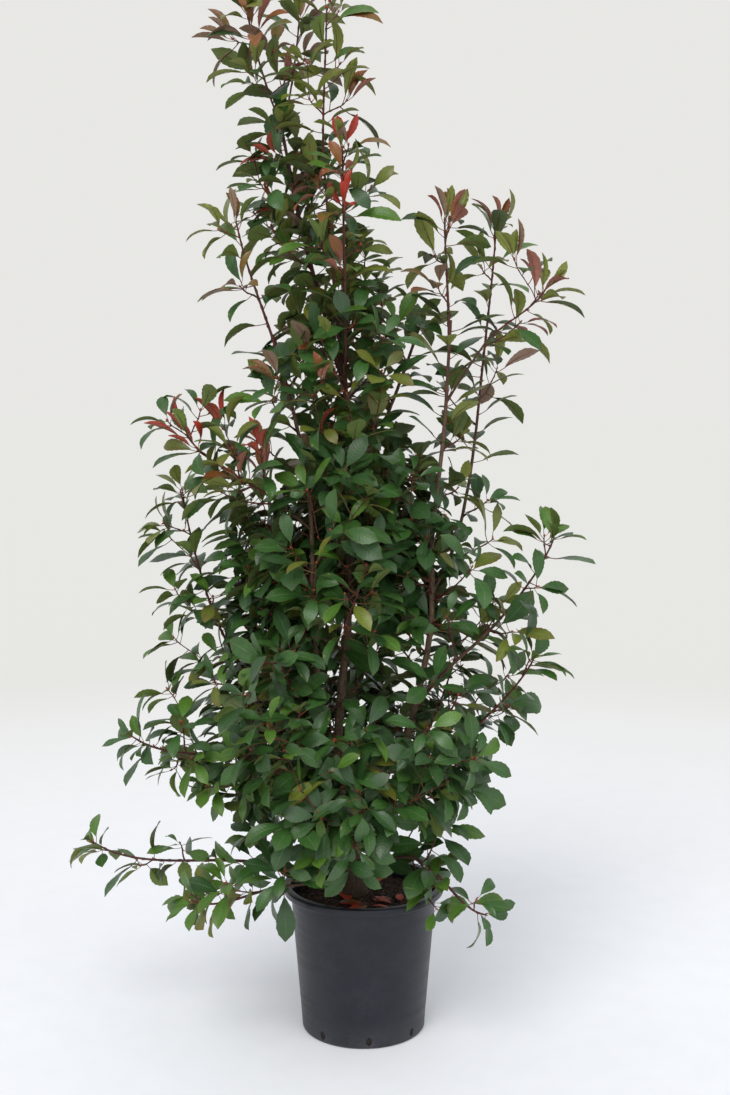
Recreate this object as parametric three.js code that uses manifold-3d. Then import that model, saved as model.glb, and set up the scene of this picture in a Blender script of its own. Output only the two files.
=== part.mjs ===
// Photinia shrub, about 2.3 m tall, growing from several stems in a 30 litre nursery pot.
// Millimetres, +Z up. The origin is the centre of the pot's flat underside, and -Y is the front.
import * as THREE from "three";
import { mergeVertices } from "three/addons/utils/BufferGeometryUtils.js";
import Module from "manifold-3d";

const wasm = await Module();
wasm.setup();

// ---- Driving dimensions ----

const SEAT_GAP = 0.4; // between pieces that touch
const MASS_GAP = 2; // between one mass of leaves and the next

const POT_HEIGHT = 334;
const POT_BASE_RADIUS = 139;
const POT_NECK_RADIUS = 165; // the wall just under the rolled lip
const POT_RIM_RADIUS = 182;
const POT_LIP_HEIGHT = 17;
const POT_LIP_EDGE = 4;
const POT_WALL = 3;
const POT_FOOT_EDGE = 6;
const POT_FACETS = 32;

const SLOT_COUNT = 8; // drain slots round the foot
const SLOT_WIDTH = 12;
const SLOT_HEIGHT = 20;
const SLOT_FOOT = 8;
const SLOT_CUT_DEPTH = 24; // the cutter's length through the wall
const SLOT_FIRST_ANGLE = -85; // degrees from +X

const WATERING_SPACE = 30; // from the rim down to the compost
const COMPOST_TOP = POT_HEIGHT - WATERING_SPACE;
const COMPOST_FALL = 6; // from the middle down to the wall
const COMPOST_FLAT_RADIUS = 90;

const TRUNK_FLARE = 17; // how much wider the trunk is where it enters the compost
const TRUNK_FLARE_REACH = 0.3; // the share of its length that the flare fades over
const TRUNK_BELOW = 10; // its length below the flat cut, which the cut takes off

const RINGS_PER_POINT = 1.6; // rings along a limb, for each point of its path
const FLARE_RINGS = 2;

const LUMP = 0.1; // unevenness of a mass, as a share of its girth
const MASS_SIDES = 9;
const MASS_RINGS = 7;

// Each limb: the points of its centre line, its radius at foot and tip, and the mass that it ends in.
// A limb that springs from another starts on that one's centre line, and is listed after it.
const LIMBS = {
  trunk: {
    path: [[-21, 1, COMPOST_TOP - TRUNK_BELOW], [-24, -2, 360], [-26, -3, 432]],
    radius: [22, 17],
    flare: TRUNK_FLARE,
    sides: 12,
    flatFoot: COMPOST_TOP + SEAT_GAP,
  },
  stem_centre: {
    path: [
      [-26, -3, 420], [-62, -10, 630], [-38, -8, 870], [-30, 0, 1100],
      [-38, 0, 1450], [-100, 15, 1660], [-157, 20, 1896], [-175, 20, 2030],
    ],
    radius: [13, 4],
    sides: 8,
  },
  stem_left: {
    path: [
      [-26, -3, 385], [-75, -35, 489], [-100, -50, 814], [-112, -80, 975],
      [-110, -90, 1168], [-136, -80, 1344], [-181, -60, 1522], [-222, -60, 1650],
    ],
    radius: [10, 4],
    sides: 8,
    into: "leaves_upper_left",
  },
  stem_right: {
    path: [
      [-24, 0, 375], [37, 0, 457], [93, -30, 662], [148, -70, 933],
      [147, -70, 1127], [166, -50, 1277], [181, -30, 1432], [188, -10, 1610],
    ],
    radius: [11, 4],
    sides: 8,
    into: "leaves_right_top",
  },
  leader_middle: {
    path: [[-48, 3, 1505], [-72, -20, 1770], [-90, -40, 2010]],
    radius: [5, 3.5],
    into: "leaves_tip_middle",
  },
  leader_front: {
    path: [[-38, 0, 1440], [-38, -60, 1560], [-40, -88, 1710]],
    radius: [5, 4],
    into: "leaves_tip_front",
  },
  leader_left: {
    path: [[-173, 20, 2010], [-205, 0, 2085], [-228, -20, 2160]],
    radius: [3.5, 3],
    into: "leaves_tip_left",
  },
  leader_right: {
    path: [[-173, 20, 2005], [-158, 45, 2090], [-143, 66, 2165]],
    radius: [3.5, 3],
    into: "leaves_tip_right",
  },
  bough_right_top: {
    path: [[-35, 0, 1240], [15, 30, 1310], [68, 50, 1430], [118, 45, 1570], [150, 35, 1660]],
    radius: [6, 4],
    into: "leaves_right_top",
  },
  bough_right_top_back: {
    path: [[147, -70, 1010], [190, 0, 1070], [228, 60, 1190], [252, 90, 1340], [272, 96, 1560]],
    radius: [6, 4],
    into: "leaves_right_top_back",
  },
  bough_right_top_front: {
    path: [[181, -31, 1425], [230, -55, 1505], [300, -98, 1610]],
    radius: [4, 3],
    into: "leaves_right_top_front",
  },
  bough_right_mid: {
    path: [[111, -43, 745], [170, -75, 830], [244, -100, 905], [335, -130, 1005]],
    radius: [6, 4],
    into: "leaves_right_mid",
  },
  bough_right_low: {
    path: [[45, -3, 480], [120, -65, 590], [200, -100, 680], [285, -128, 755]],
    radius: [6, 4],
    into: "leaves_right_low",
  },
  bough_foot_right: {
    path: [[-20, -2, 350], [40, -45, 400], [116, -100, 425], [190, -165, 385]],
    radius: [6, 4],
    into: "leaves_foot_right",
  },
  bough_left_top: {
    path: [[-110, -90, 1150], [-160, -115, 1195], [-230, -145, 1255], [-300, -165, 1320]],
    radius: [5, 3.5],
    into: "leaves_left_top",
  },
  bough_left_mid: {
    path: [[-61, -10, 650], [-170, -5, 740], [-276, -8, 835], [-345, -20, 1000]],
    radius: [6, 4],
    into: "leaves_left_mid",
  },
  bough_left_low: {
    path: [[-79, -37, 510], [-130, -50, 585], [-200, -80, 635], [-320, -115, 680]],
    radius: [6, 4],
    into: "leaves_left_low",
  },
  bough_foot_left: {
    path: [[-28, 0, 345], [-110, 0, 362], [-200, 3, 377], [-360, 5, 388]],
    radius: [7, 4],
    into: "leaves_foot_left",
  },
  bough_foot_left_front: {
    path: [[-26, -4, 332], [-90, -70, 358], [-150, -120, 370], [-245, -175, 375]],
    radius: [6, 4],
    into: "leaves_foot_left_front",
  },
  bough_front_low: {
    path: [[-68, -28, 470], [-66, -110, 520], [-55, -220, 590]],
    radius: [5, 3.5],
    into: "leaves_front_low",
  },
  bough_front_right: {
    path: [[80, -22, 610], [112, -90, 650], [140, -170, 700]],
    radius: [5, 3.5],
    into: "leaves_front_right",
  },
  bough_front_left: {
    path: [[-96, -47, 740], [-130, -110, 775], [-172, -180, 810]],
    radius: [5, 3.5],
    into: "leaves_front_left",
  },
  bough_front_high: {
    path: [[-112, -84, 1000], [-92, -125, 1040], [-70, -175, 1090]],
    radius: [5, 3.5],
    into: "leaves_front_high",
  },
  bough_back_low: {
    path: [[-24, 0, 395], [-35, 70, 470], [-35, 160, 560]],
    radius: [6, 4],
    into: "leaves_back_low",
  },
  bough_back_right: {
    path: [[62, -10, 545], [105, 30, 600], [165, 80, 665]],
    radius: [6, 4],
    into: "leaves_back_right",
  },
  bough_back_left: {
    path: [[-60, -10, 600], [-120, 40, 660], [-200, 90, 725]],
    radius: [6, 4],
    into: "leaves_back_left",
  },
  bough_back_high: {
    path: [[-32, 0, 1090], [-20, 60, 1150], [-5, 150, 1220]],
    radius: [6, 4],
    into: "leaves_back_high",
  },
};

// Each mass of leaves: the line that it grows along, and its half-widths across it towards X, Y and Z.
// The outer masses come first and keep their whole outline; a later one is cut back where it meets them.
const MASSES = {
  leaves_tip_left: {
    path: [[-192, -10, 2055], [-238, -28, 2180], [-264, -35, 2320]],
    girth: [88, 72, 80],
  },
  leaves_tip_right: {
    path: [[-162, 52, 2078], [-141, 70, 2190], [-126, 78, 2318]],
    girth: [62, 66, 60],
  },
  leaves_tip_middle: {
    path: [[-84, -48, 1950], [-72, -52, 2130], [-80, -52, 2319]],
    girth: [104, 74, 80],
  },
  leaves_tip_front: {
    path: [[-40, -98, 1640], [-40, -112, 1810], [-44, -112, 1995]],
    girth: [88, 66, 80],
  },
  leaves_upper_left: {
    path: [[-205, -70, 1540], [-262, -88, 1690], [-282, -80, 1872]],
    girth: [84, 84, 80],
  },
  leaves_right_top: { path: [[148, 22, 1560], [168, 18, 1710], [184, 14, 1888]], girth: [84, 78, 80] },
  leaves_right_top_back: {
    path: [[262, 105, 1475], [284, 100, 1660], [300, 92, 1876]],
    girth: [72, 70, 80],
  },
  leaves_right_top_front: {
    path: [[248, -82, 1560], [330, -112, 1640], [452, -128, 1692]],
    girth: [80, 68, 92],
  },
  leaves_left_top: {
    path: [[-192, -135, 1205], [-300, -172, 1330], [-425, -195, 1405]],
    girth: [80, 82, 96],
  },
  leaves_left_mid: {
    path: [[-286, -14, 790], [-376, -28, 1040], [-408, -36, 1275]],
    girth: [82, 90, 90],
  },
  leaves_right_mid: {
    path: [[292, -128, 945], [372, -146, 1050], [412, -150, 1190]],
    girth: [92, 92, 92],
  },
  leaves_right_low: {
    path: [[205, -112, 655], [318, -140, 770], [392, -152, 925]],
    girth: [92, 98, 98],
  },
  leaves_left_low: {
    path: [[-205, -100, 575], [-365, -128, 670], [-545, -148, 728]],
    girth: [100, 112, 122],
  },
  leaves_foot_left: { path: [[-270, 5, 392], [-450, 5, 396], [-668, 5, 436]], girth: [80, 88, 78] },
  leaves_foot_left_front: {
    path: [[-192, -150, 388], [-292, -200, 368], [-412, -232, 372]],
    girth: [80, 84, 92],
  },
  leaves_foot_right: {
    path: [[146, -132, 428], [222, -182, 362], [298, -212, 300]],
    girth: [76, 84, 76],
  },
  leaves_front_low: {
    path: [[-62, -212, 415], [-42, -246, 600], [-18, -236, 790]],
    girth: [158, 104, 100],
  },
  leaves_front_right: {
    path: [[108, -178, 500], [158, -202, 680], [180, -176, 870]],
    girth: [104, 98, 100],
  },
  leaves_front_left: {
    path: [[-170, -190, 580], [-190, -216, 760], [-176, -196, 960]],
    girth: [104, 92, 100],
  },
  leaves_front_high: {
    path: [[-30, -176, 860], [-44, -192, 1080], [-40, -160, 1330]],
    girth: [148, 92, 100],
  },
  leaves_back_low: { path: [[-50, 150, 425], [-40, 186, 610], [-20, 176, 810]], girth: [150, 98, 100] },
  leaves_back_right: {
    path: [[176, 82, 445], [214, 106, 670], [216, 96, 900]],
    girth: [116, 140, 100],
  },
  leaves_back_left: {
    path: [[-206, 88, 450], [-246, 106, 680], [-226, 96, 920]],
    girth: [120, 142, 100],
  },
  leaves_back_high: {
    path: [[20, 146, 880], [0, 172, 1130], [-16, 140, 1400]],
    girth: [152, 104, 100],
  },
  leaves_right_back_mid: {
    path: [[240, -70, 840], [284, -14, 1010], [304, 4, 1185]],
    girth: [76, 108, 90],
  },
  leaves_right_upper: {
    path: [[196, 14, 1170], [216, 20, 1340], [232, 26, 1500]],
    girth: [92, 86, 90],
  },
  leaves_centre_right: {
    path: [[110, -66, 890], [108, -58, 1090], [96, -40, 1320]],
    girth: [92, 112, 100],
  },
  leaves_centre_left: {
    path: [[-172, -8, 860], [-184, -6, 1070], [-158, -8, 1340]],
    girth: [116, 128, 100],
  },
  leaves_upper_front: {
    path: [[-36, -92, 1310], [-44, -106, 1470], [-48, -96, 1650]],
    girth: [132, 78, 90],
  },
  leaves_upper_centre: {
    path: [[-30, 46, 1330], [-52, 52, 1570], [-40, 54, 1820]],
    girth: [142, 98, 100],
  },
  leaves_top_column: {
    path: [[-128, 26, 1640], [-160, 26, 1850], [-190, 22, 2062]],
    girth: [112, 88, 90],
  },
};

const COLOURS = {
  pot: 0x3b3f47,
  compost: 0x3a2a1f,
  bark: 0x6a5647,
  greens: [0x2f5a2c, 0x3a6a30, 0x27492a],
  young: 0x6d6a35, // the bronze of the top growth
};
const YOUNG_FROM = 1600; // masses whose top is above this height carry young growth

// ---- Solids ----

// A closed three.js geometry as a solid: its shared vertices merged and its empty triangles dropped.
function solidOf(geometry) {
  const bare = geometry.clone();
  bare.deleteAttribute("normal");
  bare.deleteAttribute("uv");
  const merged = mergeVertices(bare, 1e-3);
  const corners = merged.index.array;
  const triangles = [];
  for (let i = 0; i < corners.length; i += 3) {
    const [a, b, c] = [corners[i], corners[i + 1], corners[i + 2]];
    if (a !== b && b !== c && c !== a) triangles.push(a, b, c);
  }
  return new wasm.Manifold(
    new wasm.Mesh({
      numProp: 3,
      vertProperties: merged.attributes.position.array,
      triVerts: new Uint32Array(triangles),
    }),
  );
}

function geometryOf(solid) {
  const { vertProperties, triVerts } = solid.getMesh();
  return new THREE.BufferGeometry()
    .setAttribute("position", new THREE.BufferAttribute(vertProperties, 3))
    .setIndex(new THREE.BufferAttribute(triVerts, 1));
}

// The largest body of a solid that a cut has left in several.
function largestBody(solid) {
  return solid.decompose().sort((a, b) => b.volume() - a.volume())[0];
}

function boxesMeet(a, b) {
  const [p, q] = [a.boundingBox(), b.boundingBox()];
  return [0, 1, 2].every((i) => p.min[i] <= q.max[i] && q.min[i] <= p.max[i]);
}

// A solid cut back by each of the others that comes near it.
function cutBy(solid, others) {
  const near = others.filter((other) => boxesMeet(solid, other));
  return near.length ? largestBody(near.reduce((rest, other) => rest.subtract(other), solid)) : solid;
}

// Bends a shape whose axis is Y, from -1 to 1, along a curve. radiusAt gives its half-width at a place along
// the curve and in a direction across it, and grow makes it that much larger on every side.
function bendAlong(shape, points, radiusAt, grow = 0) {
  const stations = points.map((point) => new THREE.Vector3(...point));
  const curve = new THREE.CatmullRomCurve3(stations, false, "centripetal");
  const chord = stations.at(-1).clone().sub(stations[0]);
  const across = new THREE.Vector3(1, 0, 0);
  if (Math.abs(chord.x) > Math.abs(chord.y)) across.set(0, 1, 0);
  const places = shape.attributes.position;
  const local = new THREE.Vector3();
  for (let i = 0; i < places.count; i++) {
    local.fromBufferAttribute(places, i);
    const along = THREE.MathUtils.clamp((local.y + 1) / 2, 0, 1);
    const tangent = curve.getTangentAt(along);
    const side = across.clone().addScaledVector(tangent, -across.dot(tangent)).normalize();
    const out = side.clone().cross(tangent).multiplyScalar(local.z).addScaledVector(side, local.x);
    const reach = out.length();
    const point = curve.getPointAt(along).addScaledVector(tangent, local.y * grow);
    if (reach > 1e-6) {
      const direction = out.clone().divideScalar(reach);
      const angle = Math.atan2(local.x, local.z);
      point.addScaledVector(direction, reach * (radiusAt(along, direction, angle) + grow));
    }
    places.setXYZ(i, point.x, point.y, point.z);
  }
  return shape;
}

// ---- Limbs ----

function limbSolid({ path, radius: [foot, tip], flare = 0, sides = 6 }, grow = 0) {
  const rings = Math.round(RINGS_PER_POINT * (path.length - 1)) + (flare ? FLARE_RINGS : 0);
  const radiusAt = (along) => foot + (tip - foot) * along + flare * Math.exp(-along / TRUNK_FLARE_REACH);
  return solidOf(bendAlong(new THREE.CylinderGeometry(1, 1, 2, sides, rings), path, radiusAt, grow));
}

// A block whose top is level at the given height, to cut a limb's foot flat.
function groundBlock(top) {
  const size = 2 * POT_RIM_RADIUS;
  return solidOf(new THREE.BoxGeometry(size, size, size).translate(0, 0, top - size / 2));
}

// ---- Masses of leaves ----

// The half-width of an ellipsoid of the given girth, in one direction.
function girthTowards([x, y, z], direction) {
  return 1 / Math.hypot(direction.x / x, direction.y / y, direction.z / z);
}

// A ball drawn out along its line, with two sets of lumps that wind round it in opposite directions.
function massSolid({ path, girth }, seed, grow = 0) {
  const radiusAt = (along, direction, angle) => {
    const lumps = Math.sin(2 * angle + 5 * along + seed) + Math.sin(3 * angle - 8 * along + 2.3 * seed);
    return girthTowards(girth, direction) * (1 + LUMP * lumps);
  };
  return solidOf(bendAlong(new THREE.SphereGeometry(1, MASS_SIDES, MASS_RINGS), path, radiusAt, grow));
}

// ---- Pot and compost ----

// Turns a profile of radius and height round the Z axis.
function turned(profile, facets) {
  const lathe = new THREE.LatheGeometry(profile.map(([r, z]) => new THREE.Vector2(r, z)), facets);
  return solidOf(lathe.rotateX(Math.PI / 2));
}

// The outer radius of the wall, which leans out from foot to neck.
function wallRadius(z) {
  const rise = z / (POT_HEIGHT - POT_LIP_HEIGHT);
  return POT_BASE_RADIUS + (POT_NECK_RADIUS - POT_BASE_RADIUS) * rise;
}

function potSolid() {
  const lipFoot = POT_HEIGHT - POT_LIP_HEIGHT;
  const shell = turned(
    [
      [0, 0],
      [POT_BASE_RADIUS - POT_FOOT_EDGE, 0],
      [wallRadius(POT_FOOT_EDGE), POT_FOOT_EDGE],
      [POT_NECK_RADIUS, lipFoot],
      [POT_RIM_RADIUS - POT_LIP_EDGE, lipFoot + POT_LIP_EDGE / 2],
      [POT_RIM_RADIUS, lipFoot + POT_LIP_EDGE * 2],
      [POT_RIM_RADIUS - POT_LIP_EDGE, POT_HEIGHT],
      [POT_NECK_RADIUS + POT_LIP_EDGE, POT_HEIGHT],
      [POT_NECK_RADIUS, POT_HEIGHT - POT_LIP_EDGE],
      [POT_NECK_RADIUS - POT_WALL, lipFoot],
      [wallRadius(POT_WALL) - POT_WALL, POT_WALL],
      [0, POT_WALL],
    ],
    POT_FACETS,
  );
  const slots = [];
  for (let i = 0; i < SLOT_COUNT; i++) {
    const cutter = new THREE.BoxGeometry(SLOT_CUT_DEPTH, SLOT_WIDTH, SLOT_HEIGHT)
      .translate(POT_BASE_RADIUS, 0, SLOT_FOOT + SLOT_HEIGHT / 2)
      .rotateZ(THREE.MathUtils.degToRad(SLOT_FIRST_ANGLE + (360 / SLOT_COUNT) * i));
    slots.push(solidOf(cutter));
  }
  return cutBy(shell, slots);
}

function compostSolid() {
  const foot = POT_WALL + SEAT_GAP;
  const inset = POT_WALL + SEAT_GAP;
  const edgeTop = COMPOST_TOP - COMPOST_FALL;
  return turned(
    [
      [0, foot],
      [wallRadius(foot) - inset, foot],
      [wallRadius(edgeTop) - inset, edgeTop],
      [COMPOST_FLAT_RADIUS, COMPOST_TOP],
      [0, COMPOST_TOP],
    ],
    POT_FACETS,
  );
}

// ---- The shrub ----

const material = (name, color, roughness) =>
  Object.assign(new THREE.MeshStandardMaterial({ color, roughness, metalness: 0 }), { name });
const barkMaterial = material("bark", COLOURS.bark, 0.85);
const leafMaterials = COLOURS.greens.map((green, i) => material("leaves_" + i, green, 0.45));
const youngMaterial = material("young_leaves", COLOURS.young, 0.45);

function part(name, solid, surface) {
  const mesh = new THREE.Mesh(geometryOf(solid), surface);
  mesh.name = name;
  return mesh;
}

// The masses as they are before any cut, and each one a little larger, to cut its neighbours back by.
const wholeMasses = {};
const massCutters = {};
Object.entries(MASSES).forEach(([name, mass], seed) => {
  wholeMasses[name] = massSolid(mass, seed);
  massCutters[name] = massSolid(mass, seed, MASS_GAP);
});

// Each limb is seated on the limbs before it, and ends just where it enters its own mass.
const woodGroup = new THREE.Group();
const limbCutters = {};
for (const [name, limb] of Object.entries(LIMBS)) {
  const ends = [];
  if (limb.into) ends.push(massSolid(MASSES[limb.into], Object.keys(MASSES).indexOf(limb.into), SEAT_GAP));
  if (limb.flatFoot) ends.push(groundBlock(limb.flatFoot));
  const solid = cutBy(cutBy(limbSolid(limb), ends), Object.values(limbCutters));
  woodGroup.add(part(name, solid, barkMaterial));
  limbCutters[name] = limbSolid(limb, SEAT_GAP);
}

// Each mass is cut round the limbs that run through it and back from the masses before it.
const leafGroup = new THREE.Group();
Object.entries(MASSES).forEach(([name, { path }], i) => {
  const passing = Object.keys(LIMBS).filter((limb) => LIMBS[limb].into !== name);
  const before = Object.keys(MASSES).slice(0, i);
  const cutters = [...passing.map((limb) => limbCutters[limb]), ...before.map((mass) => massCutters[mass])];
  const isYoung = path[path.length - 1][2] > YOUNG_FROM;
  const surface = isYoung ? youngMaterial : leafMaterials[i % leafMaterials.length];
  leafGroup.add(part(name, cutBy(wholeMasses[name], cutters), surface));
});

const potGroup = new THREE.Group();
potGroup.add(part("pot", potSolid(), material("pot_plastic", COLOURS.pot, 0.5)));
potGroup.add(part("compost", compostSolid(), material("compost", COLOURS.compost, 0.95)));

const group = new THREE.Group();
group.add(potGroup, woodGroup, leafGroup);

export default group;
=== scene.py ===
import math

import bmesh
import bpy
import numpy as np
from mathutils import Matrix, Vector, noise


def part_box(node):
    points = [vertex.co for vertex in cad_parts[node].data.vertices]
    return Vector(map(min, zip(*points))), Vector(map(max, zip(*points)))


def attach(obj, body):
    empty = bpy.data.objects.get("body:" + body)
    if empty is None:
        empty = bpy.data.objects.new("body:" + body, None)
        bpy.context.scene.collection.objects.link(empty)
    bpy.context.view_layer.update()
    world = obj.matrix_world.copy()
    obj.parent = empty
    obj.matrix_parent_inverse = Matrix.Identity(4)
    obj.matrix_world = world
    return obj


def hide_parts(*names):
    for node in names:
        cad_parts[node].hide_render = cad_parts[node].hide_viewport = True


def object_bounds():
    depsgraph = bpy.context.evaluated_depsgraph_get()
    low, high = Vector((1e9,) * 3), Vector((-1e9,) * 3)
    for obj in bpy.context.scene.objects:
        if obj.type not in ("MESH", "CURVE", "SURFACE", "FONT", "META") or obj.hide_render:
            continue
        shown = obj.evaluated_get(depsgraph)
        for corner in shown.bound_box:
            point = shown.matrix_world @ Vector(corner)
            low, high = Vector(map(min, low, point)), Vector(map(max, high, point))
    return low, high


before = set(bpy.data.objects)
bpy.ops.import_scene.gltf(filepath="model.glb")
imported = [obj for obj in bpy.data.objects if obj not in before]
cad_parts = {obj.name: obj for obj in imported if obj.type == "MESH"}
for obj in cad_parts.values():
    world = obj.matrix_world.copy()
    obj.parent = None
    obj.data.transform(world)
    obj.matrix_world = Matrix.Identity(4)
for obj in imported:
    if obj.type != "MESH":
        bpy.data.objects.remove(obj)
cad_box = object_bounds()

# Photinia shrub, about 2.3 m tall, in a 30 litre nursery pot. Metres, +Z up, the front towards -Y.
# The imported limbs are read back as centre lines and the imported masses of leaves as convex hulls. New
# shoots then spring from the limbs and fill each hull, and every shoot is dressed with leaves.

# ---- Driving values that more than one section uses ----

SEED = 11
UP = np.array([0.0, 0.0, 1.0])
GOLDEN_TURN = math.radians(137.5)  # from one leaf to the next, round the shoot

SHOOT_STEP = 0.006  # between the rings of a shoot
SHOOT_TIP_RADIUS = 0.0013
BARK_ALLOWANCE = 0.0008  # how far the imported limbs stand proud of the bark
LIMB_INTERNODE = 0.020  # from leaf to leaf on a limb, and from node to node on a twig

BLADE_LENGTH = 0.088
STALK_LENGTH = 0.021

# ---- Shader and geometry trees ----

FLOAT, COLOUR, VECTOR = "NodeSocketFloat", "NodeSocketColor", "NodeSocketVector"
GEOMETRY, MATERIAL, WHOLE = "NodeSocketGeometry", "NodeSocketMaterial", "NodeSocketInt"
SHAPES = "NodeSocketCollection"


def spaced(label):
    return label.replace("_", " ")


class Graph:
    """Adds nodes to a tree. A value is a number, a colour or another node's output."""

    def __init__(self, tree):
        self.tree = tree

    def put(self, socket, value):
        if isinstance(value, bpy.types.NodeSocket):
            self.tree.links.new(value, socket)
        else:
            socket.default_value = value

    def add(self, kind, values=None, **settings):
        node = self.tree.nodes.new(kind)
        for key, value in settings.items():
            setattr(node, key, value)
        for key, value in (values or {}).items():
            self.put(node.inputs[key], value)
        return node

    def out(self, kind, values=None, **settings):
        return self.add(kind, values, **settings).outputs[0]

    def maths(self, operation, *values):
        return self.out("ShaderNodeMath", dict(enumerate(values)), operation=operation)

    def times(self, first, second):
        return self.maths("MULTIPLY", first, second)

    def minus(self, first, second):
        return self.maths("SUBTRACT", first, second)

    def vector(self, operation, *values):
        return self.out("ShaderNodeVectorMath", dict(enumerate(values)), operation=operation)

    def length(self, vector):
        return self.add("ShaderNodeVectorMath", {0: vector}, operation="LENGTH").outputs["Value"]

    def height(self, vector):
        return self.add("ShaderNodeSeparateXYZ", {0: vector}).outputs["Z"]

    def noise(self, place, size, detail, **more):
        return self.out("ShaderNodeTexNoise", {"Vector": place, "Scale": size, "Detail": detail, **more})

    def drawn_out(self, place, stretch):
        """The place with its height scaled, so that a pattern on it is drawn out along Z."""
        return self.vector("MULTIPLY", place, self.out("ShaderNodeCombineXYZ", {0: 1.0, 1: 1.0, 2: stretch}))

    def ramp(self, value, low, high, to_low=0.0, to_high=1.0):
        """The value, from low..high to to_low..to_high."""
        sockets = {"Value": value, "From Min": low, "From Max": high, "To Min": to_low, "To Max": to_high}
        return self.out("ShaderNodeMapRange", sockets)

    def blend(self, factor, first, second, how="MIX"):
        """Two colours mixed."""
        node = self.add("ShaderNodeMix", data_type="RGBA", blend_type=how)
        for place, value in ((0, factor), (6, first), (7, second)):
            self.put(node.inputs[place], value)
        return node.outputs[2]


class Group(Graph):
    """A new node group. Its named inputs are read from given, and ends() makes its named outputs."""

    def __init__(self, name, kind, **inputs):
        super().__init__(bpy.data.node_groups.new(name, kind))
        for label, (socket_type, *value) in inputs.items():
            socket = self.tree.interface.new_socket(spaced(label), in_out="INPUT", socket_type=socket_type)
            if value:
                socket.default_value = value[0]
        self.given = self.tree.nodes.new("NodeGroupInput").outputs

    def ends(self, **results):
        for label, (socket_type, _) in results.items():
            self.tree.interface.new_socket(label, in_out="OUTPUT", socket_type=socket_type)
        end = self.tree.nodes.new("NodeGroupOutput")
        for label, (_, value) in results.items():
            self.tree.links.new(value, end.inputs[label])
        return self.tree


def colour(red, green, blue):
    return (red, green, blue, 1.0)


def shaded(value, share):
    """A colour made darker or lighter."""
    return colour(*(part * share for part in value[:3]))


def mottle_group():
    """Soft blotches of two tones with fine grain over them, for every natural surface."""
    g = Group("mottle", "ShaderNodeTree", Vector=(VECTOR,), Size=(FLOAT, 20.0), First=(COLOUR,),
              Second=(COLOUR,), Grain=(FLOAT, 0.2))
    place, size = g.given["Vector"], g.given["Size"]
    mask = g.ramp(g.noise(place, size, 4.0, Roughness=0.6), 0.35, 0.65)
    mixed = g.blend(mask, g.given["First"], g.given["Second"])
    grain = g.noise(place, g.times(size, 9.0), 2.0)
    tone = g.maths("ADD", g.times(g.ramp(grain, 0.3, 0.7, -1.0, 1.0), g.given["Grain"]), 1.0)
    grey = g.out("ShaderNodeCombineColor", {0: tone, 1: tone, 2: tone})
    return g.ends(Colour=(COLOUR, g.blend(1.0, mixed, grey, "MULTIPLY")), Mask=(FLOAT, mask))


def vein_group():
    """Midrib, side veins and rim from a leaf's own UV map: U across the blade, V along it."""
    g = Group("leaf veins", "ShaderNodeTree", UV=(VECTOR,), Pairs=(FLOAT, 11.0))
    u, v, _ = g.add("ShaderNodeSeparateXYZ", {0: g.given["UV"]}).outputs
    across = g.maths("ABSOLUTE", g.times(g.minus(u, 0.5), 2.0))
    slanted = g.minus(v, g.times(across, 0.13))
    wave = g.maths("COSINE", g.times(slanted, g.times(g.given["Pairs"], math.tau)))
    fading = g.ramp(across, 0.25, 0.95, 1.0, 0.0)
    return g.ends(
        Midrib=(FLOAT, g.ramp(across, 0.03, 0.085, 1.0, 0.0)),
        Veins=(FLOAT, g.times(g.ramp(wave, 0.86, 1.0), fading)),
        Quilting=(FLOAT, g.times(g.ramp(wave, -1.0, 1.0, 1.0, 0.0), fading)),
        Rim=(FLOAT, g.maths("MAXIMUM", g.ramp(across, 0.45, 1.0), g.ramp(v, 0.62, 1.0))),
    )


def bark_group():
    """Shallow fissures drawn out along Z, with paler plates between them."""
    g = Group("bark", "ShaderNodeTree", Vector=(VECTOR,), Size=(FLOAT, 60.0), Stretch=(FLOAT, 0.25))
    placed, size = g.drawn_out(g.given["Vector"], g.given["Stretch"]), g.given["Size"]
    rough = g.noise(placed, size, 6.0, Roughness=0.7, Distortion=0.4)
    cells = g.out("ShaderNodeTexVoronoi", {"Vector": placed, "Scale": size}, feature="DISTANCE_TO_EDGE")
    fissures = g.times(g.ramp(cells, 0.0, 0.16, 1.0, 0.0), g.ramp(rough, 0.35, 0.6))
    return g.ends(Fissures=(FLOAT, fissures), Plates=(FLOAT, g.ramp(rough, 0.35, 0.7)))


def dust_group():
    """Pale dust that settles towards a foot and in fine smudges: a mask from Object coordinates."""
    g = Group("dust", "ShaderNodeTree", Vector=(VECTOR,), Foot=(FLOAT, 0.06), Spread=(FLOAT, 0.3))
    place = g.given["Vector"]
    low = g.ramp(g.height(place), 0.0, g.given["Foot"], 1.0, 0.0)
    smudge = g.noise(place, 14.0, 8.0, Roughness=0.75)
    speckle = g.noise(place, 420.0, 2.0)
    worn = g.times(g.ramp(smudge, 0.45, 0.75), g.given["Spread"])
    settled = g.times(low, g.ramp(smudge, 0.3, 0.65, 0.1, 0.55))
    both = g.maths("MAXIMUM", worn, settled)
    return g.ends(Mask=(FLOAT, g.times(both, g.ramp(speckle, 0.35, 0.6, 0.45, 1.0))))


MOTTLE, VEINS, BARK, DUST = mottle_group(), vein_group(), bark_group(), dust_group()


# ---- Finishes ----


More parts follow.
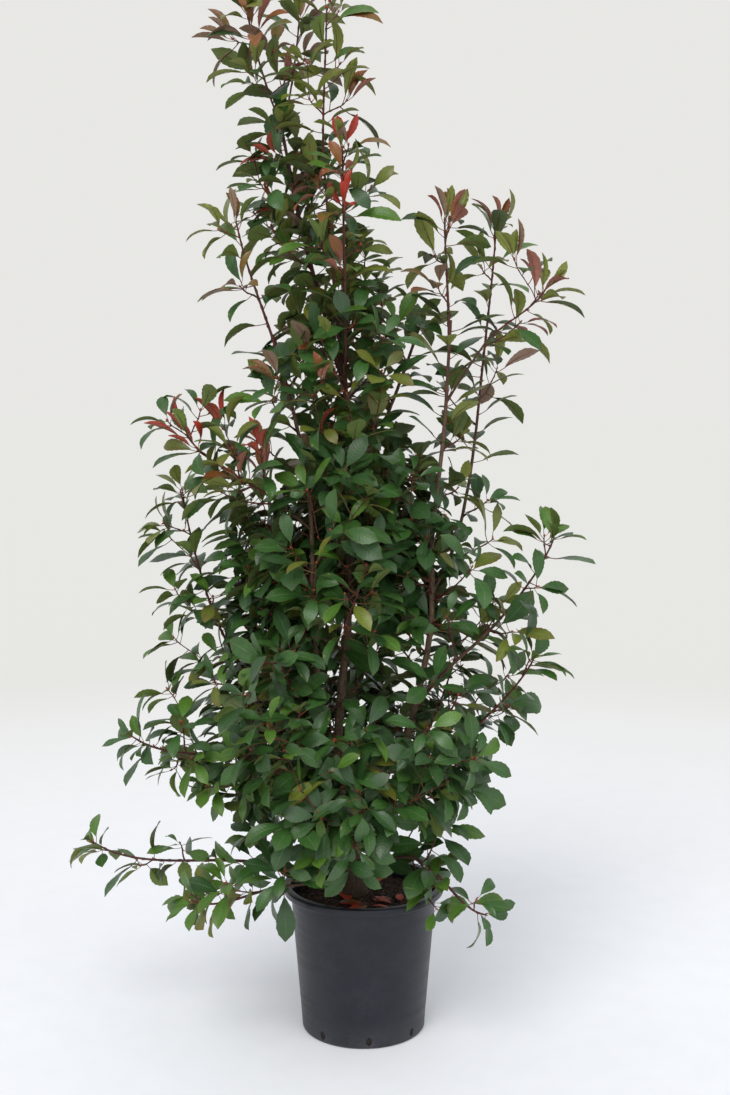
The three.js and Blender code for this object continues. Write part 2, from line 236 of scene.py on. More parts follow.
class Finish(Graph):
    """A new material with one Principled shader, and short ways to feed it."""

    def __init__(self, name, roughness=0.5, **plain):
        self.material = bpy.data.materials.new(name)
        self.material.use_nodes = True
        super().__init__(self.material.node_tree)
        self.shader = self.tree.nodes["Principled BSDF"]
        for label, value in {"Roughness": roughness, **plain}.items():
            self.put(self.shader.inputs[spaced(label)], value)
        coordinates = self.add("ShaderNodeTexCoord").outputs
        self.place, self.uv = coordinates["Object"], coordinates["UV"]

    def group(self, tree, **values):
        return self.add("ShaderNodeGroup", values, node_tree=tree).outputs

    def mottled(self, size, first, second, grain):
        """The colour and the mask of a mottled surface."""
        outputs = self.group(MOTTLE, Vector=self.place, Size=size, First=first, Second=second, Grain=grain)
        return outputs["Colour"], outputs["Mask"]

    def feed(self, label, value):
        self.put(self.shader.inputs[label], value)

    def roughen(self, mask, low, high):
        """Roughness from low to high as a mask goes from 0 to 1."""
        self.feed("Roughness", self.ramp(mask, 0.0, 1.0, low, high))

    def bump(self, height, distance, strength=1.0):
        values = {"Height": height, "Distance": distance, "Strength": strength}
        self.feed("Normal", self.out("ShaderNodeBump", values))


def blade_finish(name, face, blotch, vein, rim, roughness, coat):
    """A leathery leaf face: mottled, flushed at its rim, with paler veins and a soft sheen."""
    f = Finish(name, roughness, Coat_Weight=coat, Coat_Roughness=0.26, Specular_IOR_Level=0.42)
    base, mask = f.mottled(11.0, face, blotch, 0.10)
    veins = f.group(VEINS, UV=f.uv)
    tinted = f.blend(f.times(veins["Rim"], f.ramp(mask, 0.0, 1.0, 0.35, 0.85)), base, rim)
    tinted = f.blend(f.times(veins["Veins"], 0.24), tinted, vein)
    f.feed("Base Color", f.blend(f.times(veins["Midrib"], 0.48), tinted, vein))
    f.roughen(mask, roughness - 0.05, roughness + 0.07)
    f.bump(f.minus(f.times(veins["Quilting"], 0.5), veins["Midrib"]), 0.0009, 0.55)
    return f.material


RIND = 7.0, colour(0.098, 0.015, 0.013), colour(0.078, 0.026, 0.016), 0.20  # maroon, with green in the shade
RIND_HEIGHTS = (1.05, 1.65)  # from where the bark begins to give way to young rind to where it is all rind
PAINTED_SHADE_HEIGHTS = (0.33, 0.62)  # how far up the foot of the wood is darkened: painted shade
PAINTED_SHADE_SHARE = 0.58  # of the crack's colour in the painted shade, at the lowest


def bark_finish(name, first, second, crack, size, roughness, depth):
    """Bark that gives way to smooth maroon rind towards the top of the plant, and is darkened at its foot as
    painted shade.
    """
    f = Finish(name, roughness)
    height = f.height(f.place)
    old, young = f.mottled(size, first, second, 0.22)[0], f.mottled(*RIND)[0]
    tone = f.blend(f.ramp(height, *RIND_HEIGHTS), old, young)
    bark = f.group(BARK, Vector=f.place, Size=size * 1.6)
    cracked = f.blend(f.times(bark["Fissures"], 0.75), tone, crack)
    # painted shade: towards the foot, the bark's colour is darkened to the crack's colour
    f.feed("Base Color", f.blend(f.ramp(height, *PAINTED_SHADE_HEIGHTS, PAINTED_SHADE_SHARE, 0.0), cracked, crack))
    f.roughen(bark["Plates"], roughness + 0.12, roughness - 0.08)
    f.bump(f.minus(bark["Plates"], bark["Fissures"]), depth, 0.8)
    return f.material


def shoot_finish():
    """Smooth young rind, maroon with green where it is in the shade, dotted with pale pores."""
    f = Finish("young shoot rind", 0.42, Specular_IOR_Level=0.35)
    base, mask = f.mottled(*RIND)
    pores = f.out("ShaderNodeTexVoronoi", {"Vector": f.place, "Scale": 340.0})
    spots = f.ramp(pores, 0.10, 0.20, 0.4, 0.0)
    f.feed("Base Color", f.blend(spots, base, colour(0.20, 0.12, 0.08)))
    f.roughen(mask, 0.36, 0.50)
    f.bump(spots, 0.0004)
    return f.material


def stalk_finish():
    f = Finish("leaf stalk", 0.45)
    base, mask = f.mottled(5.0, colour(0.185, 0.040, 0.026), colour(0.125, 0.098, 0.028), 0.12)
    f.feed("Base Color", base)
    f.roughen(mask, 0.38, 0.52)
    return f.material


def bud_finish():
    f = Finish("bud scales", 0.40)
    base, mask = f.mottled(160.0, colour(0.36, 0.042, 0.022), colour(0.22, 0.062, 0.020), 0.2)
    f.feed("Base Color", base)
    f.bump(mask, 0.0004)
    return f.material


def pot_finish():
    """Satin moulded plastic, anthracite, with flow marks, fine pitting and a little dust."""
    f = Finish("anthracite pot plastic", 0.40, Specular_IOR_Level=0.42)
    base, _ = f.mottled(11.0, colour(0.0052, 0.0066, 0.0132), colour(0.0072, 0.0090, 0.0172), 0.10)
    dust = f.group(DUST, Vector=f.place, Foot=0.07, Spread=0.16)["Mask"]
    f.feed("Base Color", f.blend(dust, base, colour(0.090, 0.088, 0.092)))
    pits = f.noise(f.place, 900.0, 2.0)
    rings = f.out("ShaderNodeMapping", {"Vector": f.place, "Scale": (6.0, 6.0, 90.0)})
    flow = f.noise(rings, 1.0, 3.0)
    f.feed("Roughness", f.maths("ADD", f.ramp(flow, 0.3, 0.7, 0.34, 0.46), f.times(dust, 0.35)))
    f.bump(f.maths("ADD", pits, f.times(flow, 0.8)), 0.00035, 0.5)
    return f.material


def soil_finish(name, first, second, size, roughness=0.9):
    f = Finish(name, roughness)
    base, mask = f.mottled(size, first, second, 0.45)
    f.feed("Base Color", base)
    f.roughen(mask, roughness - 0.12, min(1.0, roughness + 0.06))
    f.bump(f.noise(f.place, size * 4, 5.0, Roughness=0.7), 0.003, 0.7)
    return f.material


# Leaf colours, dealt out by spray: the upper face, its blotches, its veins, its rim, the underside, and how
# rough and how glossy the upper face is. The undersides of the mid, fresh and olive kinds are their own pale
# colour made paler still, as painted light that shines through the leaf.
LEAF_KINDS = {
    "deep": ((0.030, 0.087, 0.021), (0.020, 0.063, 0.017), (0.070, 0.122, 0.040), (0.028, 0.062, 0.015),
             (0.092, 0.128, 0.038), 0.41, 0.22),
    "mid": ((0.037, 0.118, 0.020), (0.025, 0.084, 0.017), (0.100, 0.165, 0.048), (0.042, 0.084, 0.015),
            (0.135, 0.190, 0.045), 0.42, 0.17),
    # fresh: young leaves, whose vivid green is partly painted light that shines through them
    "fresh": ((0.070, 0.176, 0.016), (0.048, 0.132, 0.015), (0.150, 0.225, 0.050), (0.098, 0.150, 0.016),
              (0.175, 0.250, 0.054), 0.44, 0.12),
    "olive": ((0.136, 0.188, 0.017), (0.104, 0.128, 0.019), (0.200, 0.210, 0.050), (0.150, 0.084, 0.020),
              (0.245, 0.280, 0.060), 0.42, 0.14),
    "bronze": ((0.160, 0.130, 0.018), (0.165, 0.076, 0.018), (0.230, 0.140, 0.045), (0.220, 0.050, 0.020),
               (0.300, 0.190, 0.130), 0.44, 0.10),
    "copper": ((0.230, 0.088, 0.018), (0.190, 0.086, 0.020), (0.280, 0.120, 0.040), (0.290, 0.042, 0.018),
               (0.390, 0.150, 0.110), 0.44, 0.10),
    "red": ((0.450, 0.040, 0.018), (0.340, 0.032, 0.020), (0.460, 0.080, 0.040), (0.400, 0.030, 0.022),
            (0.420, 0.085, 0.050), 0.44, 0.05),
    "dropped": ((0.620, 0.085, 0.028), (0.460, 0.060, 0.026), (0.600, 0.160, 0.060), (0.520, 0.050, 0.024),
                (0.520, 0.150, 0.080), 0.55, 0.0),
    "withered": ((0.175, 0.085, 0.038), (0.120, 0.056, 0.028), (0.110, 0.055, 0.028), (0.140, 0.060, 0.028),
                 (0.170, 0.090, 0.045), 0.70, 0.0),
}
UNDERSIDE_ROUGHNESS = 0.62


def leaf_finishes(kind):
    """The finish of a kind's upper face and of its underside, which is paler and dull. In the mid, fresh
    and olive kinds it is also made paler as painted light that shines through the leaf.
    """
    *tones, roughness, coat = LEAF_KINDS[kind]
    face, blotch, vein, rim, under = (colour(*tone) for tone in tones)
    dark, light = shaded(under, 0.85), shaded(under, 1.2)
    return (
        blade_finish(f"leaf {kind}", face, blotch, vein, rim, roughness, coat),
        # the underside's colour, in the mid, fresh and olive kinds brightened as painted light shining
        # through the leaf
        blade_finish(f"leaf {kind} underside", under, dark, light, dark, UNDERSIDE_ROUGHNESS, 0.0),
    )


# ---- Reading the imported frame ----

LIMB_NAMES = ("trunk", "stem_", "leader_", "bough_")
CHORD_CUTS = (0.1, 0.9)  # shares of a limb's length between which its chord runs
LIMB_CUTS = 12  # sections read along each packed limb
CUT_FROM, CUT_TO = 0.06, 0.94  # shares of the limb's length, clear of its slanted ends

END_OF_MASS = 0.72  # share of the way out from the middle of a mass beyond which its end begins
HEIGHT_COUNTS = 0.6  # how much height counts beside distance, in the choice of a mass's far end
TRIES = 2500  # points drawn in a mass's box, of which a few become targets


def vertices_of(node):
    return np.array([v.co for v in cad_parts[node].data.vertices], float)


def corners_of(node):
    return np.unique(vertices_of(node).round(6), axis=0)


def triangles_of(node):
    return vertices_of(node)[np.array([p.vertices[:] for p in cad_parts[node].data.polygons])]


def cut_across(triangles, point, axis):
    """The middles and lengths of the edges where a plane cuts a closed skin of triangles."""
    heights = (triangles - point) @ axis
    middles, lengths = [], []
    for corners, height in zip(triangles, heights):
        crossing = []
        for a, b in ((0, 1), (1, 2), (2, 0)):
            if (height[a] > 0) != (height[b] > 0):
                share = height[a] / (height[a] - height[b])
                crossing.append(corners[a] + (corners[b] - corners[a]) * share)
        if len(crossing) == 2:
            middles.append((crossing[0] + crossing[1]) / 2)
            lengths.append(np.linalg.norm(crossing[1] - crossing[0]))
    return np.array(middles), np.array(lengths)


def weighted_mean(values, weights):
    return (values.T * weights).T.sum(axis=0) / weights.sum()


def tangents_of(line):
    difference = np.gradient(line, axis=0)
    return difference / np.linalg.norm(difference, axis=1, keepdims=True)


def limb_line(node):
    """The centre line of a packed limb from foot to tip, and its radius at each point."""
    triangles, co = triangles_of(node), corners_of(node)
    far = np.linalg.norm(co[:, None] - co[None], axis=2)
    a, b = (co[i] for i in np.unravel_index(far.argmax(), far.shape))
    if a[2] > b[2]:
        a, b = b, a
    chord = (b - a) / np.linalg.norm(b - a)
    foot, tip = (weighted_mean(*cut_across(triangles, a + (b - a) * share, chord)) for share in CHORD_CUTS)
    axis = (tip - foot) / np.linalg.norm(tip - foot)
    along = (co - foot) @ axis
    low, high = along.min(), along.max()
    shares = np.linspace(CUT_FROM, CUT_TO, LIMB_CUTS)
    sections = [cut_across(triangles, foot + axis * (low + (high - low) * share), axis) for share in shares]
    line = np.array([weighted_mean(*section) for section in sections])
    tangents = tangents_of(line)
    radii = []
    for point, tangent, (middles, lengths) in zip(line, tangents, sections):
        out = middles - point
        out -= np.outer(out @ tangent, tangent)
        radii.append(weighted_mean(np.linalg.norm(out, axis=1), lengths))
    step = CUT_FROM * (high - low)
    line = np.vstack([line[0] - tangents[0] * step, line, line[-1] + tangents[-1] * step])
    return line, np.array([2 * radii[0] - radii[1], *radii, radii[-1]])


def between(t, start, slope, end, end_slope, span=1.0):
    """The smooth curve that leaves start with one slope and reaches end with the other, at shares t."""
    return (
        (2 * t**3 - 3 * t**2 + 1) * start
        + (t**3 - 2 * t**2 + t) * span * slope
        + (-2 * t**3 + 3 * t**2) * end
        + (t**3 - t**2) * span * end_slope
    )


def resampled(line, radii, step):
    """A smooth line through the points, with rings a step apart, their radii and how far along they are."""
    knots = np.concatenate([[0], np.cumsum(np.linalg.norm(np.diff(line, axis=0), axis=1))])
    places = np.linspace(0, knots[-1], max(3, int(round(knots[-1] / step)) + 1))
    slopes = np.gradient(line, knots, axis=0)
    at = np.clip(np.searchsorted(knots, places, side="right") - 1, 0, len(knots) - 2)
    span = (knots[at + 1] - knots[at])[:, None]
    t = (places - knots[at])[:, None] / span
    smooth = between(t, line[at], slopes[at], line[at + 1], slopes[at + 1], span)
    return smooth, np.interp(places, knots, radii), places


def ring_at(places, back):
    """The ring that is a length back from the tip."""
    return int(np.clip(np.searchsorted(places, places[-1] - back), 1, len(places) - 1))


class Hull:
    """A mass's convex hull, as the planes of its faces."""

    def __init__(self, mass):
        self.mass, self.corners = mass, corners_of(f"leaves_{mass}")
        self.low, self.high = self.corners.min(axis=0), self.corners.max(axis=0)
        self.centre = (self.low + self.high) / 2
        bm = bmesh.new()
        for corner in self.corners:
            bm.verts.new(corner)
        bmesh.ops.convex_hull(bm, input=bm.verts)
        bm.normal_update()
        planes = [(np.array(f.normal), np.array(f.calc_center_median())) for f in bm.faces]
        bm.free()
        self.normals = np.array([n if n @ (p - self.centre) > 0 else -n for n, p in planes])
        self.offsets = np.array([n @ p for n, (_, p) in zip(self.normals, planes)])
        spread = self.corners - self.corners.mean(axis=0)
        self.axis = np.linalg.svd(spread, full_matrices=False)[2][0]

    def depth(self, points):
        """How far inside the hull each point is."""
        return (self.offsets - np.atleast_2d(points) @ self.normals.T).min(axis=1)

    def far_end(self, start, inset):
        """The end of the mass's long axis that lies further from start, or higher, moved in by the inset."""
        along = (self.corners - self.centre) @ self.axis
        ends = []
        for sign, most in ((1, along.max()), (-1, -along.min())):
            middle = self.corners[sign * along > END_OF_MASS * most].mean(axis=0)
            middle += self.axis * sign * (most - abs((middle - self.centre) @ self.axis))
            ends.append(middle - self.axis * sign * inset)
        return max(ends, key=lambda end: np.linalg.norm(end - start) + HEIGHT_COUNTS * (end - start)[2])

    def targets(self, rng, inset, above, spacing):
        """Points a spacing apart in the mass, deeper and higher than shares of its depth and height."""
        least = self.low + above * UP * (self.high - self.low)
        tries = rng.uniform(least, self.high, (TRIES, 3))
        depths = self.depth(tries)
        kept = []
        for point in tries[depths > inset * depths.max()]:
            if all(np.linalg.norm(point - other) > spacing for other in kept):
                kept.append(point)
        return kept


LIMBS = {node: limb_line(node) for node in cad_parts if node.startswith(LIMB_NAMES)}
# From here on a mass goes by its node's name without leaves_ in front.
MASSES = [node.removeprefix("leaves_") for node in sorted(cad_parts) if node.startswith("leaves_")]
HULLS = {mass: Hull(mass) for mass in MASSES}

# The mass that a limb's leading shoot goes on through, where the names don't say so.
LED_BY = {"stem_left": "upper_left", "stem_right": "right_top"}


def mass_of(limb):
    return LED_BY.get(limb, limb.replace("leader_", "tip_").replace("bough_", ""))


# ---- Kinds of growth ----

# The chances of each leaf colour at a shoot's tip, below it and further back.
PALETTES = {
    "crown": (
        {"olive": 0.43, "bronze": 0.30, "copper": 0.12, "fresh": 0.15},
        {"olive": 0.36, "mid": 0.32, "fresh": 0.12, "bronze": 0.11, "deep": 0.09},
        {"mid": 0.62, "deep": 0.20, "olive": 0.18},
    ),
    "shoulder": (
        {"olive": 0.32, "fresh": 0.22, "mid": 0.37, "bronze": 0.09},
        {"mid": 0.72, "olive": 0.18, "deep": 0.10},
        {"mid": 0.70, "olive": 0.04, "deep": 0.26},
    ),
    "middle": (
        {"mid": 0.60, "fresh": 0.18, "deep": 0.19, "olive": 0.03},
        {"mid": 0.57, "deep": 0.35, "olive": 0.08},
        {"deep": 0.52, "mid": 0.38, "olive": 0.10},
    ),
    "open": (
        {"mid": 0.44, "fresh": 0.31, "olive": 0.25},
        {"mid": 0.62, "fresh": 0.11, "deep": 0.14, "olive": 0.13},
        {"mid": 0.62, "deep": 0.38},
    ),
    "shade": (
        {"mid": 0.45, "deep": 0.47, "fresh": 0.08},
        {"deep": 0.62, "mid": 0.38},
        {"deep": 0.78, "mid": 0.22},
    ),
    "skirt": (
        {"fresh": 0.50, "mid": 0.50},
        {"mid": 0.70, "fresh": 0.22, "deep": 0.08},
        {"mid": 0.66, "deep": 0.34},
    ),
    "pale skirt": (
        {"fresh": 0.44, "olive": 0.30, "mid": 0.26},
        {"fresh": 0.34, "olive": 0.24, "mid": 0.42},
        {"mid": 0.58, "fresh": 0.18, "deep": 0.24},
    ),
}
FLUSH = {"red": 0.52, "copper": 0.36, "bronze": 0.12}  # the newest leaves at a tip that still grows
FLUSHED_LEAVES = 3
FLUSHING = {"crown": 0.30, "shoulder": 0.08}  # the share of side shoots whose tips still grow

# How deep inside a mass its shoots end and how high, as shares of its greatest depth and height, how far
# apart they are, how strongly they turn up and out, how many leaves crowd at a tip, the space from leaf to
# leaf below them, the angles at which young and old leaves stand off, in degrees, how much they hang, how
# much their faces turn out from the plant and along their shoot, and the size of the leaves. Leaves that
# rise from the low boughs lie flatter, by the share called level. A leading shoot stops short of the end of
# its mass by its leading inset.
GROWTH = {
    "crown": dict(inset=0.58, above=0.32, spacing=0.068, rise=1.00, spread=0.2, rosette=4, internode=0.024,
                  lift=(50, 68), hang=0.02, facing=0.14, cupping=0.30, size=1.05, leading_inset=0.075),
    "shoulder": dict(inset=0.36, above=0.20, spacing=0.064, rise=0.95, spread=0.3, rosette=4,
                     internode=0.023, lift=(54, 76), hang=0.06, facing=0.20, cupping=0.34, size=0.98),
    "open": dict(inset=0.45, above=0.10, spacing=0.080, rise=0.85, spread=0.4, rosette=5, internode=0.023,
                 lift=(54, 80), hang=0.06, facing=0.18, cupping=0.40, size=0.96),
    "middle": dict(inset=0.22, above=0.0, spacing=0.064, rise=0.50, spread=0.9, rosette=6, internode=0.021,
                   lift=(64, 88), hang=0.05, facing=0.16, cupping=0.60, size=0.98),
    "shade": dict(inset=0.20, above=0.0, spacing=0.062, rise=0.55, spread=0.7, rosette=5, internode=0.022,
                  lift=(60, 90), hang=0.08, facing=0.20, cupping=0.50, size=0.98),
    "skirt": dict(inset=0.50, above=0.0, spacing=0.064, rise=0.40, spread=0.7, rosette=6, internode=0.023,
                  lift=(60, 86), hang=0.06, facing=0.18, cupping=0.34, size=0.92, level=0.55),
}
# What differs from its kind in single masses that are thinner, fuller, higher, lower or of other colours,
# and the colour of the newest leaves on some leading shoots.
OWN_GROWTH = {
    "tip_left": dict(spacing=0.056, inset=0.45, above=0.0, newest="red"),
    "tip_right": dict(spacing=0.066, above=0.0, newest="copper"),
    "tip_middle": dict(spacing=0.072, above=0.0, newest="red"),
    "top_column": dict(spacing=0.058, inset=0.28),
    "tip_front": dict(spacing=0.066, inset=0.42, above=0.16, newest="red", leading_inset=0.045),
    "upper_left": dict(spacing=0.098, inset=0.62, above=0.25, internode=0.028, newest="bronze"),
    "upper_front": dict(inset=0.12, above=0.0),
    "upper_centre": dict(inset=0.24, above=0.05),
    "left_top": dict(spacing=0.062, inset=0.25, above=0.0, internode=0.032, palette="shoulder",
                     newest="red"),
    "left_low": dict(spacing=0.068, above=0.06),
    "left_mid": dict(spacing=0.078, inset=0.35, above=0.0, internode=0.028),
    "centre_left": dict(spacing=0.050, inset=0.0, rise=0.80, cupping=0.42),
    "front_high": dict(rise=0.80, spread=0.6, lift=(56, 80), facing=0.22, cupping=0.42),
    "centre_right": dict(spacing=0.056, inset=-0.05, above=-0.15, rise=0.80, cupping=0.42),
    "back_low": dict(inset=-0.10, above=0.0),
    "back_high": dict(inset=0.0, above=-0.10),
    "front_right": dict(spacing=0.060, inset=0.12, above=0.24),
    "right_top": dict(spacing=0.080, newest="red"),
    "right_top_front": dict(spacing=0.098, inset=0.66, newest="olive"),
    "right_top_back": dict(spacing=0.084, above=0.52),
    "right_upper": dict(spacing=0.230),
    "right_mid": dict(spacing=0.104),
    "right_low": dict(spacing=0.110, internode=0.028),
    "right_back_mid": dict(spacing=0.150, rosette=4, internode=0.032),
    "back_right": dict(spacing=0.088, above=0.32, rosette=4, internode=0.030),
    "foot_right": dict(spacing=0.096, inset=0.35, rosette=4, internode=0.032),
    "foot_left": dict(spacing=0.108, rosette=4, internode=0.031, palette="pale skirt"),
    "foot_left_front": dict(spacing=0.090, inset=0.28, above=0.28, cupping=0.45, level=0.2,
                            palette="pale skirt"),
}

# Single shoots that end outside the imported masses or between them: the mass they count with, their tip, and
# the colour of their newest leaves where they still grow.
OWN_SHOOTS = (
    ("left_low", (-0.435, -0.02, 0.785), None), ("left_low", (-0.365, 0.03, 0.845), None),
    ("left_low", (-0.345, -0.03, 0.610), None), ("left_mid", (-0.425, 0.02, 0.895), None),
    ("front_left", (-0.235, -0.08, 0.545), None), ("right_mid", (0.275, 0.02, 1.205), None),
    ("right_mid", (0.205, -0.03, 1.235), None), ("right_low", (0.318, -0.04, 0.820), None),
    ("right_low", (0.325, 0.02, 0.735), None), ("tip_left", (-0.235, 0.01, 2.100), None),
    ("left_mid", (-0.435, -0.01, 1.135), None), ("foot_right", (0.142, -0.12, 0.405), None),
    ("foot_left_front", (-0.234, -0.05, 0.472), None), ("tip_right", (-0.165, -0.02, 2.105), None),
    ("right_top", (0.185, 0.00, 1.800), "copper"), ("right_top_front", (0.318, -0.10, 1.722), "olive"),
    ("upper_front", (-0.178, -0.16, 1.475), "bronze"), ("upper_front", (-0.085, -0.19, 1.465), "copper"),
)

# Which masses grow in which way. The others are of the kind called middle.
MASSES_OF_KIND = {
    "crown": ("tip_left", "tip_right", "tip_middle", "tip_front", "upper_left", "right_top",
              "right_top_back", "right_top_front", "left_top"),
    "shoulder": ("upper_front", "upper_centre", "top_column"),
    "open": ("left_mid", "right_upper", "right_mid", "right_back_mid", "right_low"),
    "skirt": ("foot_left", "foot_left_front", "foot_right", "left_low"),
    "shade": ("back_low", "centre_right", "centre_left", "back_left", "back_right"),
}
KIND_OF_MASS = {mass: kind for kind, masses in MASSES_OF_KIND.items() for mass in masses}


def kind_of(mass):
    return KIND_OF_MASS.get(mass, "middle")


def growth_of(mass):
    return {**GROWTH[kind_of(mass)], **OWN_GROWTH.get(mass, {})}


def palette_of(mass):
    return PALETTES[growth_of(mass).get("palette", kind_of(mass))]


# ---- The growing rule ----

SHORTEST_SHOOT, LONGEST_SHOOT = 0.035, 0.36
SHORTEST_LEADING = 0.06
LEADING_INSET = 0.05  # from the end of a mass back to the tip of its leading shoot
LEADING_TIP_RADIUS = 0.0019
LEADING_BEND = 0.5  # how strongly a leading shoot turns from its limb towards its end
LEADING_RISE = 0.55  # how strongly its end turns up

WOOD_STEP = 0.015  # between the points of a limb that shoots can spring from
# The cost of distance in the choice of a shoot's foot, and how much of it rising and going straight on save.
DISTANCE_COST, SAVED_BY_RISING, SAVED_BY_HEADING = 1.5, 0.55, 0.35
PARENT_PULL = 0.35  # how strongly a side shoot first follows its parent
SHOOT_STRAY = 0.12
SHOOT_TAPER = 0.0100  # how much thicker a shoot is for each metre of its length
SHOOT_FOOT = 0.0006  # how much thicker than its tip the shortest one is
OF_PARENT = 0.75  # the most that a shoot has of its parent's radius
LEAFY_LENGTH = (0.15, 0.12)  # the least length of a side shoot that bears leaves, and what chance adds
MOST_LEAFY = 0.92  # share of a shoot's length

ASIDE = (0.31, 0.95, 0.05)  # turns round a shoot are counted from the direction square to it and to this
LEVEL = (1, 1, 0)  # what a direction is multiplied by to level it
SMALL, TINY = 1e-9, 1e-12  # added to a length that divides


class Wood:
    """Every point of the plant's wood that a new shoot can spring from."""

    def __init__(self):
        self.points = self.directions = np.zeros((0, 3))
        self.radii = np.zeros(0)

    def add(self, line, radii):
        self.points = np.vstack([self.points, line])
        self.directions = np.vstack([self.directions, tangents_of(line)])
        self.radii = np.concatenate([self.radii, radii])

    def nearest(self, point):
        return np.linalg.norm(self.points - point, axis=1).min()

    def spring(self, target):
        """The best place to spring from: near the target, below it and heading its way."""
        away = target - self.points
        distance = np.linalg.norm(away, axis=1) + SMALL
        rise = away[:, 2] / distance
        heading = (away * self.directions).sum(axis=1) / distance
        cost = distance * (DISTANCE_COST - SAVED_BY_RISING * rise - SAVED_BY_HEADING * heading)
        cost[distance < SHORTEST_SHOOT] = np.inf
        best = cost.argmin()
        return self.points[best], self.directions[best], self.radii[best], distance[best]


def curved(start, heading, end, ending, points=7):
    """A curve that leaves start along heading and arrives at end along ending."""
    reach = np.linalg.norm(end - start)
    return between(np.linspace(0, 1, points)[:, None], start, heading * reach, end, ending * reach)


def unit(v):
    return v / (np.linalg.norm(v) + TINY)


def radial_at(heading, turn):
    """The direction square to a shoot's heading, at a turn round it."""
    side = unit(np.cross(heading, ASIDE))
    return math.cos(turn) * side + math.sin(turn) * np.cross(heading, side)


class Shoot:
    """One twig: its line, its radii, the mass it fills, how far back from its tip it bears leaves, whether
    it leads its mass, and the colour of its newest leaves."""

    def __init__(self, line, radii, mass, leafy, leading=False, newest=None):
        self.line, self.radii, self.places = resampled(line, radii, SHOOT_STEP)
        self.length = self.places[-1]
        self.mass, self.leafy = mass, min(leafy, self.length * MOST_LEAFY)
        self.leading, self.newest = leading, newest


def leading_shoot(limb, hull):
    line, radii = LIMBS[limb]
    growth = growth_of(hull.mass)
    start, heading = line[-2], tangents_of(line)[-1]
    end = hull.far_end(start, growth.get("leading_inset", LEADING_INSET))
    reach = np.linalg.norm(end - start)
    if reach < SHORTEST_LEADING:
        return None
    ending = unit(unit(end - start) + LEADING_RISE * UP)
    path = curved(start, unit(heading + LEADING_BEND * unit(end - start)), end, ending, 9)
    taper = np.linspace(radii[-1] - BARK_ALLOWANCE, LEADING_TIP_RADIUS, len(path))
    return Shoot(path, taper, hull.mass, reach, True, growth.get("newest"))


def side_shoot(target, hull, wood, rng, newest=None):
    start, heading, parent_radius, distance = wood.spring(target)
    if distance > LONGEST_SHOOT:
        return None
    away = unit(target - start)
    growth = growth_of(hull.mass)
    outwards = unit(target * LEVEL)
    ending = unit(away + growth["rise"] * UP + growth["spread"] * outwards + rng.normal(0, SHOOT_STRAY, 3))
    path = curved(start, unit(PARENT_PULL * heading + away), target, ending)
    foot = min(parent_radius * OF_PARENT, SHOOT_TIP_RADIUS + SHOOT_FOOT + SHOOT_TAPER * distance)
    radii = np.linspace(foot, SHOOT_TIP_RADIUS, len(path))
    leafy = LEAFY_LENGTH[0] + LEAFY_LENGTH[1] * rng.random()
    return Shoot(path, radii, hull.mass, leafy, newest is not None, newest)


# Where short spurs grow off the limbs themselves, as shares of a limb's length back from its tip.
SPURRED = {
    "stem_left": (0.10, 0.80), "stem_right": (0.46, 0.80), "stem_centre": (0.36, 0.80),
    "bough_foot_right": (0.10, 0.90), "bough_foot_left": (0.12, 0.35), "bough_right_top": (0.12, 0.24),
    "bough_": (0.12, 0.50),
}
SPUR_GAP = 0.046
SPUR_GAP_CHANGE = (0.8, 1.2)
SPUR_LENGTH = (0.06, 0.15)
SPUR_FOOT = 0.0009  # how much thicker than its tip
SPUR_OF_LIMB = 0.7  # the most that a spur has of its limb's radius
SPUR_LEAN, SPUR_RISE, SPUR_TIP_RISE = 0.5, 0.25, 0.6  # along its limb, and up over its length and at its tip


def by_start(table, name, otherwise):
    """The first entry of a table whose key a name starts with."""
    return next((value for start, value in table.items() if name.startswith(start)), otherwise)


def spurs_of(limb, rng):
    """Short leafy spurs in a spiral along a limb."""
    nearest, furthest = by_start(SPURRED, limb, (0, 0))
    line, radii, places = resampled(*LIMBS[limb], SHOOT_STEP)
    tangents = tangents_of(line)
    back, turn, spurs = nearest * places[-1], rng.uniform(0, math.tau), []
    while back < furthest * places[-1]:
        at = ring_at(places, back)
        reach = rng.uniform(*SPUR_LENGTH)
        heading = unit(radial_at(tangents[at], turn) + SPUR_LEAN * tangents[at])
        end = line[at] + reach * unit(heading + SPUR_RISE * UP)
        home = min(HULLS.values(), key=lambda hull: -hull.depth(end)[0])
        path = curved(line[at], heading, end, unit(heading + SPUR_TIP_RISE * UP))
        foot = min(radii[at] * SPUR_OF_LIMB, SHOOT_TIP_RADIUS + SPUR_FOOT)
        spurs.append(Shoot(path, np.linspace(foot, SHOOT_TIP_RADIUS, len(path)), home.mass, reach))
        turn += GOLDEN_TURN
        back += SPUR_GAP * rng.uniform(*SPUR_GAP_CHANGE)
    return spurs


